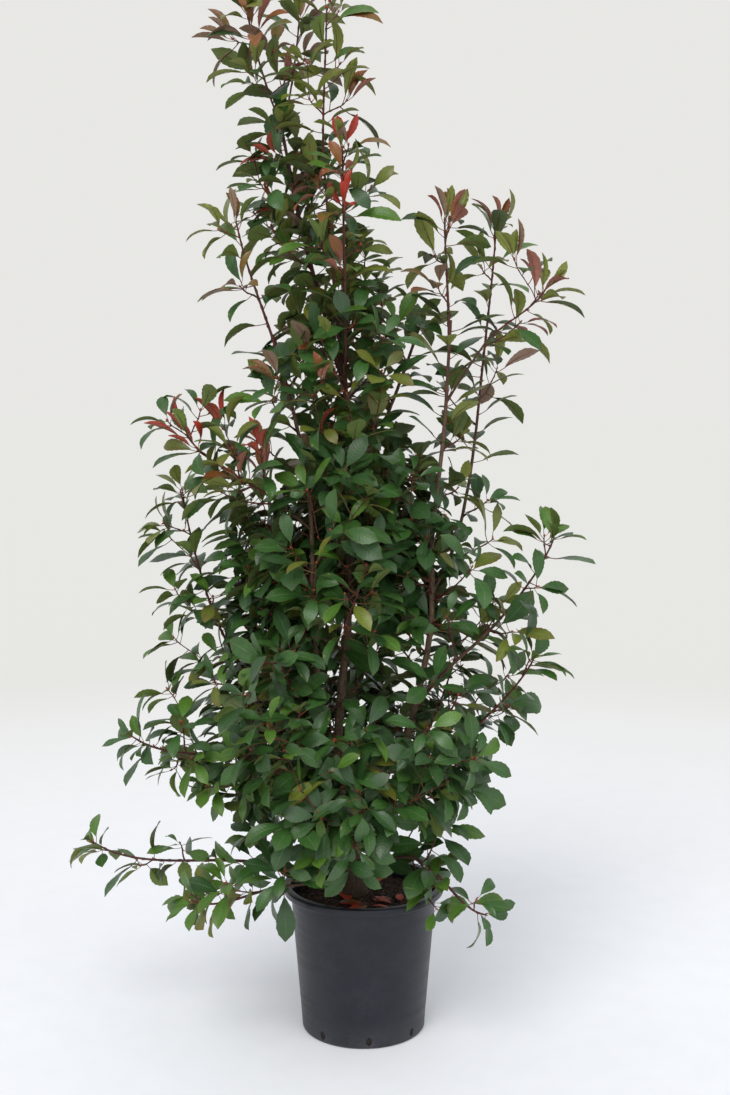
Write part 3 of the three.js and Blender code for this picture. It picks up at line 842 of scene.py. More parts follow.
def grow():
    """All the shoots of the plant, mass by mass from the ground up."""
    rng = np.random.default_rng(SEED)
    wood, shoots = Wood(), []
    for limb in LIMBS.values():
        line, radii, _ = resampled(*limb, WOOD_STEP)
        wood.add(line[1:], radii[1:])

    def keep(shoot, foot):
        """Keeps a shoot, if there is one, and lets others spring from every second ring beyond its foot."""
        if shoot is not None:
            shoots.append(shoot)
            wood.add(shoot.line[foot::2], shoot.radii[foot::2])

    for mass, limb in {mass_of(limb): limb for limb in LIMBS}.items():
        if mass in HULLS:
            keep(leading_shoot(limb, HULLS[mass]), 2)
    for hull in sorted(HULLS.values(), key=lambda hull: hull.low[2]):
        growth = growth_of(hull.mass)
        targets = hull.targets(rng, growth["inset"], growth["above"], growth["spacing"])
        for target in sorted(targets, key=wood.nearest):
            keep(side_shoot(target, hull, wood, rng), 4)
    for mass, tip, newest in OWN_SHOOTS:
        keep(side_shoot(np.array(tip), HULLS[mass], wood, rng, newest), 4)
    for limb in LIMBS:
        shoots += spurs_of(limb, rng)
    return shoots


# ---- Where leaves may be ----

POT_LOW, POT_HIGH = np.array(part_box("pot"))
COMPOST_LOW, COMPOST_HIGH = np.array(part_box("compost"))
POT_RADIUS = (POT_HIGH - POT_LOW)[0] / 2
COMPOST_RADIUS = (COMPOST_HIGH - COMPOST_LOW)[0] / 2
BOX_LOW, BOX_HIGH = np.array(cad_box)

PAST_BOX = 0.015 * (BOX_HIGH - BOX_LOW) + 0.006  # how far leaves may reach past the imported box
POT_CLEARANCE = 0.012
LEAF_CLEARANCE = 0.010  # between the middles of two blades
LEAF_MIDDLE = 0.6  # share of the way from a leaf's foot to its tip
BARE_HALF_WIDTH = 0.125  # of the pot's front, where no leaf hangs
VIEW_HALF_WIDTH, VIEW_HEIGHT = 0.070, 0.075  # of the open view over the rim onto the compost

# Gaps through the leaves in front of a limb, from one height on it to another, that let the bark show.
CLEARINGS = (
    ("stem_centre", 0.73, 0.97), ("stem_left", 1.04, 1.22), ("leader_front", 1.42, 1.58),
    ("stem_centre", 1.02, 1.10), ("stem_right", 0.92, 1.04), ("bough_right_mid", 0.76, 0.90),
)
CLEARING_STEP = 0.01
CLEARING_HALF_WIDTH = 0.021
CLEARING_HALF_HEIGHT = 0.020  # round each point of the limb


def clearing_points():
    """Points close together along every stretch of limb that a clearing shows."""
    found = []
    for limb, low, high in CLEARINGS:
        line = resampled(*LIMBS[limb], CLEARING_STEP)[0]
        found.append(line[(line[:, 2] > low) & (line[:, 2] < high)])
    return np.vstack(found)


SHOWN = clearing_points()


def hides_a_stem(point):
    aside = np.abs(SHOWN - point)
    near = (aside[:, 0] < CLEARING_HALF_WIDTH) & (aside[:, 2] < CLEARING_HALF_HEIGHT)
    return bool((near & (point[1] < SHOWN[:, 1])).any())


def touches_the_pot(point):
    near = math.hypot(point[0], point[1]) < POT_RADIUS + POT_CLEARANCE
    return near and point[2] < POT_HIGH[2] + POT_CLEARANCE


def hides_the_pot(point):
    aside, above = abs(point[0]), point[2] - POT_HIGH[2]
    hides = (above < 0 and aside < BARE_HALF_WIDTH) or (above < VIEW_HEIGHT and aside < VIEW_HALF_WIDTH)
    return hides and point[1] <= 0


def outside_the_box(point):
    return bool(((point < BOX_LOW - PAST_BOX) | (point > BOX_HIGH + PAST_BOX)).any())


class Leaves:
    """Every leaf, as a row of its colour kind, its shape, its foot, its turn, its size and its mass."""

    def __init__(self):
        self.rows = []
        self.middles = np.zeros((0, 3))

    def lay(self, kind, shape, foot, along, upper, size, mass):
        turn = Matrix(np.array([np.cross(along, upper), along, upper]).T.tolist()).to_quaternion()
        self.rows.append((kind, shape, foot, turn[:], size, mass))

    def add(self, kind, shape, foot, along, upper, size, mass):
        """Adds a leaf and says so, unless something is in its way."""
        reach = (STALK_LENGTH + BLADE_LENGTH) * size
        middle, tip = foot + along * reach * LEAF_MIDDLE, foot + along * reach
        for point in (middle, tip):
            if touches_the_pot(point) or hides_the_pot(point) or hides_a_stem(point):
                return False
        gaps = np.linalg.norm(self.middles - middle, axis=1)
        if outside_the_box(tip) or (gaps < LEAF_CLEARANCE * size).any():
            return False
        self.middles = np.vstack([self.middles, middle])
        self.lay(kind, shape, foot, along, upper, size, mass)
        return True


# ---- Dressing the shoots with leaves ----

LEAF_STRAY, FACE_STRAY, TURN_STRAY = 0.14, 0.18, 0.12  # of a leaf's direction, its face and its turn
STEEPEST, EASED = -0.55, 0.6  # a leaf that hangs more steeply has its drop multiplied by this share
TO_THE_LIGHT = 0.75  # how strongly faces turn up, less what their shoot turns them
EDGE_ON = 0.15  # a face with less than this to go by takes its side from the shoot instead
SHOOT_PULL = 0.3  # how strongly such a face then turns along its shoot


def square_to(along, vector):
    """The part of a vector that is square to a direction."""
    return vector - (vector @ along) * along


def leaf_turn(foot, heading, radial, lift, growth, rng):
    """A leaf's direction and its upper face, which turns up and out from the plant to the light."""
    outward = unit(foot * LEVEL)
    along = math.cos(lift) * heading + math.sin(lift) * radial
    hang = growth["hang"] + growth["facing"] * max(0.0, along @ outward)
    along = unit(along - hang * UP + rng.normal(0, LEAF_STRAY, 3))
    if along[2] < STEEPEST:
        along = unit(along * [1, 1, EASED])
    elif along[2] > 0:
        along = unit(along * [1, 1, 1 - growth.get("level", 0.0)])
    from_shoot, facing = growth["cupping"], growth["facing"]
    upper = from_shoot * heading + (TO_THE_LIGHT - from_shoot) * UP + facing * outward
    upper = square_to(along, upper + rng.normal(0, FACE_STRAY, 3))
    if np.linalg.norm(upper) < EDGE_ON:
        upper = square_to(along, np.cross(along, np.cross(radial, along)) + SHOOT_PULL * heading)
    return along, unit(upper)


# Which of the leaf shapes grow at a shoot's tip, which further back, and which of those in the crown.
YOUNG_SHAPES = (4, 5, 5, 1)
GROWN_SHAPES = (0, 0, 1, 2, 3, 3, 4, 6)
CROWN_SHAPES = (0, 1, 1, 4, 4, 6)

ROSETTE_STEP = 0.0045  # from leaf to leaf where they crowd at a tip
AXIL_BUDS, AXIL_BUD_SIZE = 0.12, (0.6, 1.0)  # the share of leaves with a bud in their axil, and its size
TIP_BUD_SIZE = (0.8, 0.4)  # the least, and what chance adds
TIP_BUD_SUNK = 0.001
OWN_COLOUR = 0.16  # the share of leaves that don't take the colour of their stretch of the shoot
VIGOUR = (0.92, 1.10)  # of a whole shoot
YOUNG_HALF = 0.5  # of a shoot's leafy length
UNFOLDING_SIZE, UNFOLDING_LIFT = (0.60, 0.09), (14, 8)  # of the newest leaf, and what each older one adds
GROWN_SIZE = (0.78, 1.12)
TIP_SIZE = (0.72, 0.06)  # of the leaf at a tip, and what each one further back adds
LIFT_START = 0.25  # share of the way from the young leaves' angle to the old ones' that a tip starts with
LIFT_STRAY = 10  # degrees
ROSETTE_LIFT = 3  # degrees by which each place nearer the tip brings a crowded leaf in
INTERNODE_CHANGE = (0.8, 1.2)
SET_OUT, SET_OUT_ON_LIMB = 0.8, 0.9  # share of the wood's radius at which a leaf springs


def dealt(chances, rng):
    kinds = list(chances)
    return kinds[rng.choice(len(kinds), p=np.array([chances[kind] for kind in kinds]))]


def one_of(shapes, rng):
    return shapes[rng.integers(len(shapes))]


def dress(shoot, leaves, buds, rng):
    """Leaves in a spiral down a shoot, crowded at its tip."""
    kind_name, growth, palette = kind_of(shoot.mass), growth_of(shoot.mass), palette_of(shoot.mass)
    in_crown = kind_name == "crown"
    chance = 1.0 if shoot.leading and (in_crown or shoot.newest) else FLUSHING.get(kind_name, 0.0)
    flushing = rng.random() < chance
    stages = [dealt(chances, rng) for chances in palette]
    dealt_flush = dealt(FLUSH, rng)
    flush = shoot.newest or dealt_flush
    tangents = tangents_of(shoot.line)
    turn = rng.uniform(0, math.tau)
    back, index = 0.0, 0
    vigour = growth["size"] * rng.uniform(*VIGOUR)
    while back < shoot.leafy:
        at = ring_at(shoot.places, back)
        radial = radial_at(tangents[at], turn)
        share = back / shoot.leafy
        rosette = index < growth["rosette"]
        stage = 0 if rosette else (1 if share < YOUNG_HALF else 2)
        kind = dealt(palette[stage], rng) if rng.random() < OWN_COLOUR else stages[stage]
        if flushing and index < FLUSHED_LEAVES:
            kind = flush
        if rosette and flushing:
            size = (UNFOLDING_SIZE[0] + UNFOLDING_SIZE[1] * index) * vigour
            lift = UNFOLDING_LIFT[0] + UNFOLDING_LIFT[1] * index
            shape = one_of(YOUNG_SHAPES, rng)
        else:
            least, most = growth["lift"]
            size = vigour * rng.uniform(*GROWN_SIZE) * min(1.0, TIP_SIZE[0] + TIP_SIZE[1] * index)
            lift = least + (most - least) * min(1.0, share + LIFT_START)
            lift += rng.uniform(-LIFT_STRAY, LIFT_STRAY)
            lift -= max(0, growth["rosette"] - index) * ROSETTE_LIFT
            shape = one_of(CROWN_SHAPES if in_crown else GROWN_SHAPES, rng)
        foot = shoot.line[at] + radial * shoot.radii[at] * SET_OUT
        along, upper = leaf_turn(foot, tangents[at], radial, math.radians(lift), growth, rng)
        if leaves.add(kind, shape, foot, along, upper, size, shoot.mass) and rng.random() < AXIL_BUDS:
            buds.append((foot, unit(radial + tangents[at]), rng.uniform(*AXIL_BUD_SIZE)))
        turn += GOLDEN_TURN + rng.normal(0, TURN_STRAY)
        back += ROSETTE_STEP if rosette else growth["internode"] * rng.uniform(*INTERNODE_CHANGE)
        index += 1
    bud_size = TIP_BUD_SIZE[0] + TIP_BUD_SIZE[1] * rng.random()
    buds.append((shoot.line[-1] - tangents[-1] * TIP_BUD_SUNK, tangents[-1], bud_size))


# How far back from its tip a packed limb still bears leaves of its own, as a share of its length.
LEAFY_LIMBS = {"leader_": 1.0, "bough_": 0.45, "stem_right": 0.26, "stem_": 0.40}
LIMB_LEAVES_FROM, LIMB_LEAVES_SHORT = 0.012, 0.03  # from the tip back, and short of the leafy length
LIMB_LIFT = 62  # degrees
LIMB_LEAF_SIZE, LIMB_INTERNODE_CHANGE = (0.9, 1.1), (0.8, 1.25)


def dress_limb(limb, leaves, rng):
    """The leaves that a limb's own younger end still bears."""
    line, radii, places = resampled(*LIMBS[limb], SHOOT_STEP)
    leafy = by_start(LEAFY_LIMBS, limb, 0) * places[-1] - LIMB_LEAVES_SHORT
    tangents = tangents_of(line)
    mass = mass_of(limb) if mass_of(limb) in HULLS else "top_column"
    growth, colours = growth_of(mass), palette_of(mass)[2]
    turn, back = rng.uniform(0, math.tau), LIMB_LEAVES_FROM
    while back < leafy:
        at = ring_at(places, back)
        radial = radial_at(tangents[at], turn)
        foot = line[at] + radial * radii[at] * SET_OUT_ON_LIMB
        lift = math.radians(LIMB_LIFT + rng.uniform(-LIFT_STRAY, LIFT_STRAY))
        along, upper = leaf_turn(foot, tangents[at], radial, lift, growth, rng)
        shape = one_of(GROWN_SHAPES, rng)
        size = growth["size"] * rng.uniform(*LIMB_LEAF_SIZE)
        leaves.add(dealt(colours, rng), shape, foot, along, upper, size, mass)
        turn += GOLDEN_TURN + rng.normal(0, TURN_STRAY)
        back += LIMB_INTERNODE * rng.uniform(*LIMB_INTERNODE_CHANGE)


# ---- Leaf, stalk and bud shapes ----

STALK_RADIUS = 0.0011
BLADE_WIDTH = 0.041
BLADE_THICKNESS = 0.0007
BLADE_TEETH = 7  # on each side
TOOTH_CREST = 0.70  # where in its own stretch of the edge each tooth is widest
TOOTH_DEPTH = 0.08
BLADE_START = math.radians(16)  # how much the blade rises from its stalk
WIDEST = 0.59  # the share of the blade's length where it is widest
BLADE_FULLNESS = 0.74  # the lower, the fuller the outline
TIP_SHARPNESS = 0.34

# Each shape: width as a share, then fold, recurve and twist in degrees, curl of the edges and their wave.
LEAF_SHAPES = (
    dict(width=1.00, fold=14, recurve=44, twist=8, curl=0.08, wave=0.05),
    dict(width=0.92, fold=20, recurve=62, twist=-12, curl=0.10, wave=0.04),
    dict(width=1.06, fold=8, recurve=28, twist=6, curl=0.06, wave=0.08),
    dict(width=1.14, fold=10, recurve=38, twist=-8, curl=0.10, wave=0.06),
    dict(width=0.86, fold=26, recurve=52, twist=14, curl=0.05, wave=0.04),
    dict(width=0.76, fold=38, recurve=24, twist=-6, curl=0.03, wave=0.03),
    dict(width=0.98, fold=14, recurve=78, twist=20, curl=0.12, wave=0.07),
)
FLAT_SHAPE = 2  # the one that a dropped leaf has
# Along the blade: its foot, then the notch and the crest of each tooth, then its tip.
STATIONS = [(k + part) / BLADE_TEETH for k in range(BLADE_TEETH) for part in (0.0, TOOTH_CREST)] + [1.0]
ACROSS = (-1.0, -0.5, 0.0, 0.5, 1.0)  # the points over the upper face, from edge to edge
KEEL = len(ACROSS)  # the place of the underside's point in each row
RIPPLE, RIGHT_LEAD = 7.5, 1.9  # radians of an edge's wave over the blade, and the right edge's lead

BUDS = ((0.009, 0.0021), (0.007, 0.0026))  # length and radius
BUD_PROFILE = ((0.0, 0.55), (0.3, 1.0), (0.7, 0.7), (1.0, 0.0))  # shares of its length and of its radius
ALONG_Y = Vector((0, 1, 0))


def mesh_of(bm, name):
    """A new mesh with what has been built in bm."""
    mesh = bpy.data.meshes.new(name)
    bm.to_mesh(mesh)
    bm.free()
    return mesh


def half_width(s, width):
    """Half the blade's width at a share of its length: a narrow foot, a wide middle, a pointed tip."""
    power = math.log(0.5) / math.log(WIDEST)
    return width * BLADE_WIDTH / 2 * math.sin(math.pi * s**power) ** (BLADE_FULLNESS + TIP_SHARPNESS * s**4)


def blade_line(shape):
    """The blade's middle line as (point, direction, up) at each station, in the leaf's own frame."""
    point, frames, before = Vector((0, STALK_LENGTH, 0)), [], 0.0
    for share in STATIONS:
        angle = BLADE_START - math.radians(shape["recurve"]) * share
        direction = Vector((0, math.cos(angle), math.sin(angle)))
        if frames:
            point = point + (direction + frames[-1][1]).normalized() * BLADE_LENGTH * (share - before)
        frames.append((point.copy(), direction, Vector((0, -math.sin(angle), math.cos(angle)))))
        before = share
    return frames


def blade_mesh(shape):
    """A closed blade: five points across its upper face and a keeled underside that share the outline."""
    bm = bmesh.new()
    uv_layer = bm.loops.layers.uv.new("UVMap")
    frames = blade_line(shape)
    foot, tip = bm.verts.new(frames[0][0]), bm.verts.new(frames[-1][0])
    places = {foot: (0.5, 0.0), tip: (0.5, 1.0)}
    rows = []
    fold = math.radians(shape["fold"])
    for i, share in enumerate(STATIONS[1:-1]):
        point, direction, up = frames[i + 1]
        twist = Matrix.Rotation(math.radians(shape["twist"]) * share, 3, direction)
        across, up = twist @ Vector((1, 0, 0)), twist @ up
        half = half_width(share, shape["width"])
        notch = TOOTH_DEPTH * (i % 2)
        row = []
        for u in ACROSS:
            ripple = shape["wave"] * math.sin(RIPPLE * share + (0.0 if u < 0 else RIGHT_LEAD)) * u * u
            rise = half * (math.sin(fold) * abs(u) - shape["curl"] * u * u + ripple)
            reach = u * half * math.cos(fold) * (1 - notch if abs(u) == 1.0 else 1)
            row.append(bm.verts.new(point + across * reach + up * rise))
            places[row[-1]] = (0.5 + u / 2, share)
        row.append(bm.verts.new(point - up * BLADE_THICKNESS))
        places[row[-1]] = (0.5, share)
        rows.append(row)
    side = bm.faces.layers.bool.new("underside")
    upper = [(i + 1, i, False) for i in range(KEEL - 1)]
    for left, right, is_under in upper + [(0, KEEL, True), (KEEL, KEEL - 1, True)]:
        strip = [(foot, rows[0][left], rows[0][right]), (tip, rows[-1][right], rows[-1][left])]
        strip += [(a[right], a[left], b[left], b[right]) for a, b in zip(rows, rows[1:])]
        for corners in strip:
            face = bm.faces.new(corners)
            face.smooth = True
            face[side] = is_under
            for loop in face.loops:
                loop[uv_layer].uv = places[loop.vert]
    bmesh.ops.recalc_face_normals(bm, faces=bm.faces)
    for edge in bm.edges:
        edge.smooth = len({face[side] for face in edge.link_faces}) == 1
    return mesh_of(bm, "blade")


def turns_of(sides):
    return [math.tau * k / sides for k in range(sides)]


def skin(bm, rings, sides):
    """Faces between rings and over open ends, with normals outwards. A ring may be a single point."""
    for a, b in zip(rings, rings[1:]):
        for k in range(sides):
            m = (k + 1) % sides
            corners = (a[k % len(a)], a[m % len(a)], b[m % len(b)], b[k % len(b)])
            bm.faces.new(dict.fromkeys(corners))
    for end in (rings[0], rings[-1]):
        if len(end) > 1:
            bm.faces.new(end)
    bmesh.ops.recalc_face_normals(bm, faces=bm.faces)


def tube_mesh(name, rings, sides):
    """A closed tube through (point, direction, radius) rings. A ring of no radius is a point."""
    bm = bmesh.new()
    across = Vector((1, 0, 0))
    loops = []
    for point, direction, radius in rings:
        up = across.cross(direction).normalized()
        places = [point + (across * math.cos(t) + up * math.sin(t)) * radius for t in turns_of(sides)]
        loops.append([bm.verts.new(place) for place in (places if radius > 0 else [point])])
    skin(bm, loops, sides)
    for face in bm.faces:
        face.smooth = True
    return mesh_of(bm, name)


def stalk_mesh(shape):
    """The stalk, and the midrib that goes on from it under the blade."""
    frames = blade_line(shape)
    rings = [
        (Vector((0, -0.001, 0)), ALONG_Y, 1.35 * STALK_RADIUS),
        (Vector((0, 0.35 * STALK_LENGTH, -0.0008)), ALONG_Y, 0.92 * STALK_RADIUS),
        (Vector((0, STALK_LENGTH, -0.0003)), frames[0][1], STALK_RADIUS),
    ]
    for station, radius in ((4, 0.62), (8, 0.34), (11, 0.0)):
        point, direction, up = frames[station]
        rings.append((point - up * (BLADE_THICKNESS + 0.0002), direction, radius * STALK_RADIUS))
    return tube_mesh("stalk", rings, 3)


def bud_mesh(length, radius):
    rings = [(Vector((0, length * along, 0)), ALONG_Y, radius * share) for along, share in BUD_PROFILE]
    return tube_mesh("bud", rings, 5)


def shape_collection(name, meshes):
    """A collection that isn't in the scene, with one object for each shape, in order."""
    collection = bpy.data.collections.new(name)
    for i, mesh in enumerate(meshes):
        collection.objects.link(bpy.data.objects.new(f"{i:02d} {name}", mesh))
    return collection


# ---- Geometry trees ----

LOOKS_UP = 0.8  # the least height of a face's normal for chips to lie on it
CHIP_TILT = 0.45  # radians


def named(g, label, kind):
    return g.out("GeometryNodeInputNamedAttribute", {"Name": label}, data_type=kind)


def one_by_one(g):
    """The shapes of the collection that a tree is given, each by itself."""
    values = {"Collection": g.given["Shapes"], "Separate Children": True, "Reset Children": True}
    return g.out("GeometryNodeCollectionInfo", values)


def real(g, geometry):
    return g.out("GeometryNodeRealizeInstances", {"Geometry": geometry})


def finished(g, geometry, finish, **only):
    return g.out("GeometryNodeSetMaterial", {"Geometry": geometry, "Material": finish, **only})


def spray_tree():
    """One copy of a shape for each point, turned, sized and chosen by the point's own values."""
    g = Group("leaf spray", "GeometryNodeTree", Points=(GEOMETRY,), Shapes=(SHAPES,),
              Upper_finish=(MATERIAL,), Underside_finish=(MATERIAL,))
    copies = g.out("GeometryNodeInstanceOnPoints", {
        "Points": g.given["Points"], "Instance": one_by_one(g), "Pick Instance": True,
        "Instance Index": named(g, "shape", "INT"), "Rotation": named(g, "turn", "QUATERNION"),
        "Scale": named(g, "size", "FLOAT_VECTOR"),
    })
    upper = finished(g, real(g, copies), g.given["Upper finish"])
    under = named(g, "underside", "BOOLEAN")
    return g.ends(Geometry=(GEOMETRY, finished(g, upper, g.given["Underside finish"], Selection=under)))


def limb_tree():
    """Rounds out lines into limbs of their own radius, then raises the bark's relief on them."""
    g = Group("limb", "GeometryNodeTree", Lines=(GEOMETRY,), Sides=(WHOLE, 8), Relief=(FLOAT, 0.0),
              Relief_size=(FLOAT, 60.0), Relief_stretch=(FLOAT, 0.3), Finish=(MATERIAL,))
    radius = named(g, "thickness", "FLOAT")
    lines = g.out("GeometryNodeMeshToCurve", {"Mesh": g.given["Lines"]})
    ring = g.out("GeometryNodeCurvePrimitiveCircle", {"Resolution": g.given["Sides"], "Radius": 1.0})
    rounded = g.out("GeometryNodeCurveToMesh", {
        "Curve": lines, "Profile Curve": ring, "Fill Caps": True, "Scale": radius,
    })
    place = g.drawn_out(g.out("GeometryNodeInputPosition"), g.given["Relief stretch"])
    lumps = g.noise(place, g.given["Relief size"], 5.0, Roughness=0.65)
    height = g.times(g.times(g.minus(lumps, 0.5), g.given["Relief"]), radius)
    normal = g.out("GeometryNodeInputNormal")
    offset = g.out("ShaderNodeVectorMath", {0: normal, "Scale": height}, operation="SCALE")
    raised = g.out("GeometryNodeSetPosition", {"Geometry": rounded, "Offset": offset})
    smooth = g.out("GeometryNodeSetShadeSmooth", {"Geometry": raised, "Shade Smooth": True})
    return g.ends(Geometry=(GEOMETRY, finished(g, real(g, smooth), g.given["Finish"])))


def strewing_tree():
    """Strews shapes over the faces that look up, out to a reach from the Z axis."""
    g = Group("strewing", "GeometryNodeTree", Ground=(GEOMETRY,), Shapes=(SHAPES,), Apart=(FLOAT, 0.006),
              Density=(FLOAT, 9000.0), Reach=(FLOAT, 1.0), Least_size=(FLOAT, 0.5),
              Greatest_size=(FLOAT, 1.3), Seed=(WHOLE, 3), Finish=(MATERIAL,))
    height, seed = g.height(g.out("GeometryNodeInputNormal")), g.given["Seed"]
    looks_up = g.out("FunctionNodeCompare", {0: height, 1: LOOKS_UP}, operation="GREATER_THAN")
    radius = g.length(g.vector("MULTIPLY", g.out("GeometryNodeInputPosition"), (1.0, 1.0, 0.0)))
    near = g.out("FunctionNodeCompare", {0: radius, 1: g.given["Reach"]}, operation="LESS_THAN")
    chosen = g.out("FunctionNodeBooleanMath", {0: looks_up, 1: near}, operation="AND")
    places = g.out("GeometryNodeDistributePointsOnFaces", {
        "Mesh": g.given["Ground"], "Selection": chosen, "Distance Min": g.given["Apart"],
        "Density Max": g.given["Density"], "Seed": seed,
    }, distribute_method="POISSON")
    leans = {0: (-CHIP_TILT, -CHIP_TILT, 0.0), 1: (CHIP_TILT, CHIP_TILT, math.tau), "Seed": seed}
    turn = g.add("FunctionNodeRandomValue", leans, data_type="FLOAT_VECTOR").outputs[0]
    sizes = {2: g.given["Least size"], 3: g.given["Greatest size"], "Seed": seed}
    size = g.add("FunctionNodeRandomValue", sizes, data_type="FLOAT").outputs[1]
    copies = g.out("GeometryNodeInstanceOnPoints", {
        "Points": places, "Instance": one_by_one(g), "Pick Instance": True, "Rotation": turn, "Scale": size,
    })
    return g.ends(Geometry=(GEOMETRY, finished(g, real(g, copies), g.given["Finish"])))


SPRAY, LIMB, STREWING = spray_tree(), limb_tree(), strewing_tree()


def in_scene(name, data):
    piece = bpy.data.objects.new(name, data)
    bpy.context.scene.collection.objects.link(piece)
    return piece


def applied(piece):
    """Turns a piece with a live modifier into a plain one, and gives its new mesh back."""
    evaluated = piece.evaluated_get(bpy.context.evaluated_depsgraph_get())
    result = bpy.data.meshes.new_from_object(evaluated)
    piece.modifiers.clear()
    piece.data = result
    return result


def grown(name, mesh, tree, values):
    """Runs a geometry tree on a mesh, and gives the result back as a plain piece at the origin."""
    piece = bpy.data.objects.new(name, mesh)
    modifier = piece.modifiers.new(tree.name, "NODES")
    modifier.node_group = tree
    for socket in tree.interface.items_tree:
        if socket.in_out == "INPUT" and socket.name in values:
            modifier[socket.identifier] = values[socket.name]
    bpy.context.scene.collection.objects.link(piece)
    applied(piece).name = name
    return piece


def ride(piece, nodes=()):
    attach(piece, "root")
    if nodes:
        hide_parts(*nodes)


def piece_of(name, mesh, material):
    mesh.materials.append(material)
    return in_scene(name, mesh)


# ---- Trunk, stems, boughs and twigs ----

BURIED = 0.02  # the trunk's foot under the compost
PARENT_STEP = 0.004  # between the points of a parent that a limb's foot can be nearest to
STEM_STEP, BOUGH_STEP = 0.006, 0.007  # between the rings
LEAST_OF_PACKED = 0.55  # what a thin limb keeps of its packed radius
# How many times as thick a limb starts inside its parent, what its collar adds to that, and over how many
# radii the collar dies away.
ROOTED, COLLAR, COLLAR_LENGTH = 1.25, 0.35, 2.2
TRUNK_FLARE = 1.05
FIRST_NODE, LAST_NODE = 0.004, 0.01  # the first from the twig's tip, and the last no nearer to its foot
TWIG_BENT = 0.0007  # by this much at each node
NODE_SWELLING, TWIG_END = 1.30, 0.6  # as shares of the twig's radius
TWIG_NODE_CHANGE = (0.85, 1.15)


def lines_mesh(name, lines):
    """A mesh of open lines, with each point's thickness."""
    points, edges, thickness = [], [], []
    for line, radii in lines:
        first = len(points)
        points += [tuple(point) for point in line]
        edges += [(first + i, first + i + 1) for i in range(len(line) - 1)]
        thickness += list(radii)
    mesh = bpy.data.meshes.new(name)
    mesh.from_pydata(points, edges, [])
    mesh.attributes.new("thickness", "FLOAT", "POINT").data.foreach_set("value", np.array(thickness, "f"))
    return mesh


def foot_in_parent(limb):
    """The point nearest to a limb's foot on the centre line of the trunk, or for a bough of a stem too."""
    parents = "trunk" if limb.startswith("stem_") else ("trunk", "stem_")
    names = [name for name in LIMBS if name.startswith(parents)]
    points = np.vstack([resampled(*LIMBS[name], PARENT_STEP)[0] for name in names])
    return points[np.linalg.norm(points - LIMBS[limb][0][0], axis=1).argmin()]


def limb_line_and_radii(limb, step):
    """A limb's own line with its collar: it starts inside its parent, and the trunk inside the compost."""
    line, radii = LIMBS[limb]
    radii = np.maximum(radii - BARK_ALLOWANCE * (limb != "trunk"), LEAST_OF_PACKED * radii)
    if limb == "trunk":
        buried = np.vstack([line[0] - UP * BURIED, line])
        return resampled(buried, np.array([radii[0] * TRUNK_FLARE, *radii]), step)[:2]
    line, radii = np.vstack([foot_in_parent(limb), line]), np.array([radii[0] * ROOTED, *radii])
    fine, fine_radii, places = resampled(line, radii, step)
    return fine, fine_radii * (1 + COLLAR * np.exp(-places / (COLLAR_LENGTH * fine_radii[0])))


def swollen(shoot, rng):
    """A shoot's line with the slight bend at each node, and its radii with its nodes and leaf scars."""
    line, radii = shoot.line.copy(), shoot.radii.copy()
    back, turn = FIRST_NODE, rng.uniform(0, math.tau)
    tangents = tangents_of(line)
    while back < shoot.length - LAST_NODE:
        at = ring_at(shoot.places, back)
        line[at] += radial_at(tangents[at], turn) * TWIG_BENT
        radii[at] *= NODE_SWELLING
        turn += GOLDEN_TURN
        back += LIMB_INTERNODE * rng.uniform(*TWIG_NODE_CHANGE)
    radii[-1] *= TWIG_END
    return line, radii


def make_wood(shoots):
    stems = [limb for limb in LIMBS if limb.startswith(("trunk", "stem_"))]
    boughs = [limb for limb in LIMBS if limb not in stems]
    old_bark = bark_finish("stem bark", colour(0.215, 0.138, 0.082), colour(0.140, 0.096, 0.060),
                           colour(0.034, 0.023, 0.016), 55.0, 0.72, 0.0016)
    young_bark = bark_finish("bough bark", colour(0.150, 0.070, 0.042), colour(0.098, 0.054, 0.034),
                             colour(0.045, 0.026, 0.018), 90.0, 0.58, 0.0007)
    stem_lines = lines_mesh("stem lines", [limb_line_and_radii(limb, STEM_STEP) for limb in stems])
    ride(grown("trunk_and_stems", stem_lines, LIMB, {
        "Sides": 20, "Relief": 0.55, "Relief size": 120.0, "Relief stretch": 0.22, "Finish": old_bark,
    }), stems)
    bough_lines = lines_mesh("bough lines", [limb_line_and_radii(limb, BOUGH_STEP) for limb in boughs])
    ride(grown("boughs", bough_lines, LIMB, {
        "Sides": 10, "Relief": 0.40, "Relief size": 190.0, "Relief stretch": 0.4, "Finish": young_bark,
    }), boughs)
    rng = np.random.default_rng(SEED + 1)
    twig_lines = lines_mesh("twig lines", [swollen(shoot, rng) for shoot in shoots])
    ride(grown("twigs", twig_lines, LIMB, {"Sides": 6, "Finish": shoot_finish()}))


# ---- Leaves ----

MOST_LEAVES = 1250  # in one piece


def points_mesh(name, shapes, feet, turns, sizes):
    """A mesh of loose points, each with the shape, the turn and the size of what springs from it."""
    mesh = bpy.data.meshes.new(name)
    mesh.from_pydata([tuple(foot) for foot in feet], [], [])
    turn = mesh.attributes.new("turn", "QUATERNION", "POINT")
    turn.data.foreach_set("value", np.array(turns, "f").ravel())
    size = mesh.attributes.new("size", "FLOAT_VECTOR", "POINT")
    size.data.foreach_set("vector", np.repeat(np.array(sizes, "f"), 3))
    shape = mesh.attributes.new("shape", "INT", "POINT")
    shape.data.foreach_set("value", np.array(shapes, np.int32))
    return mesh


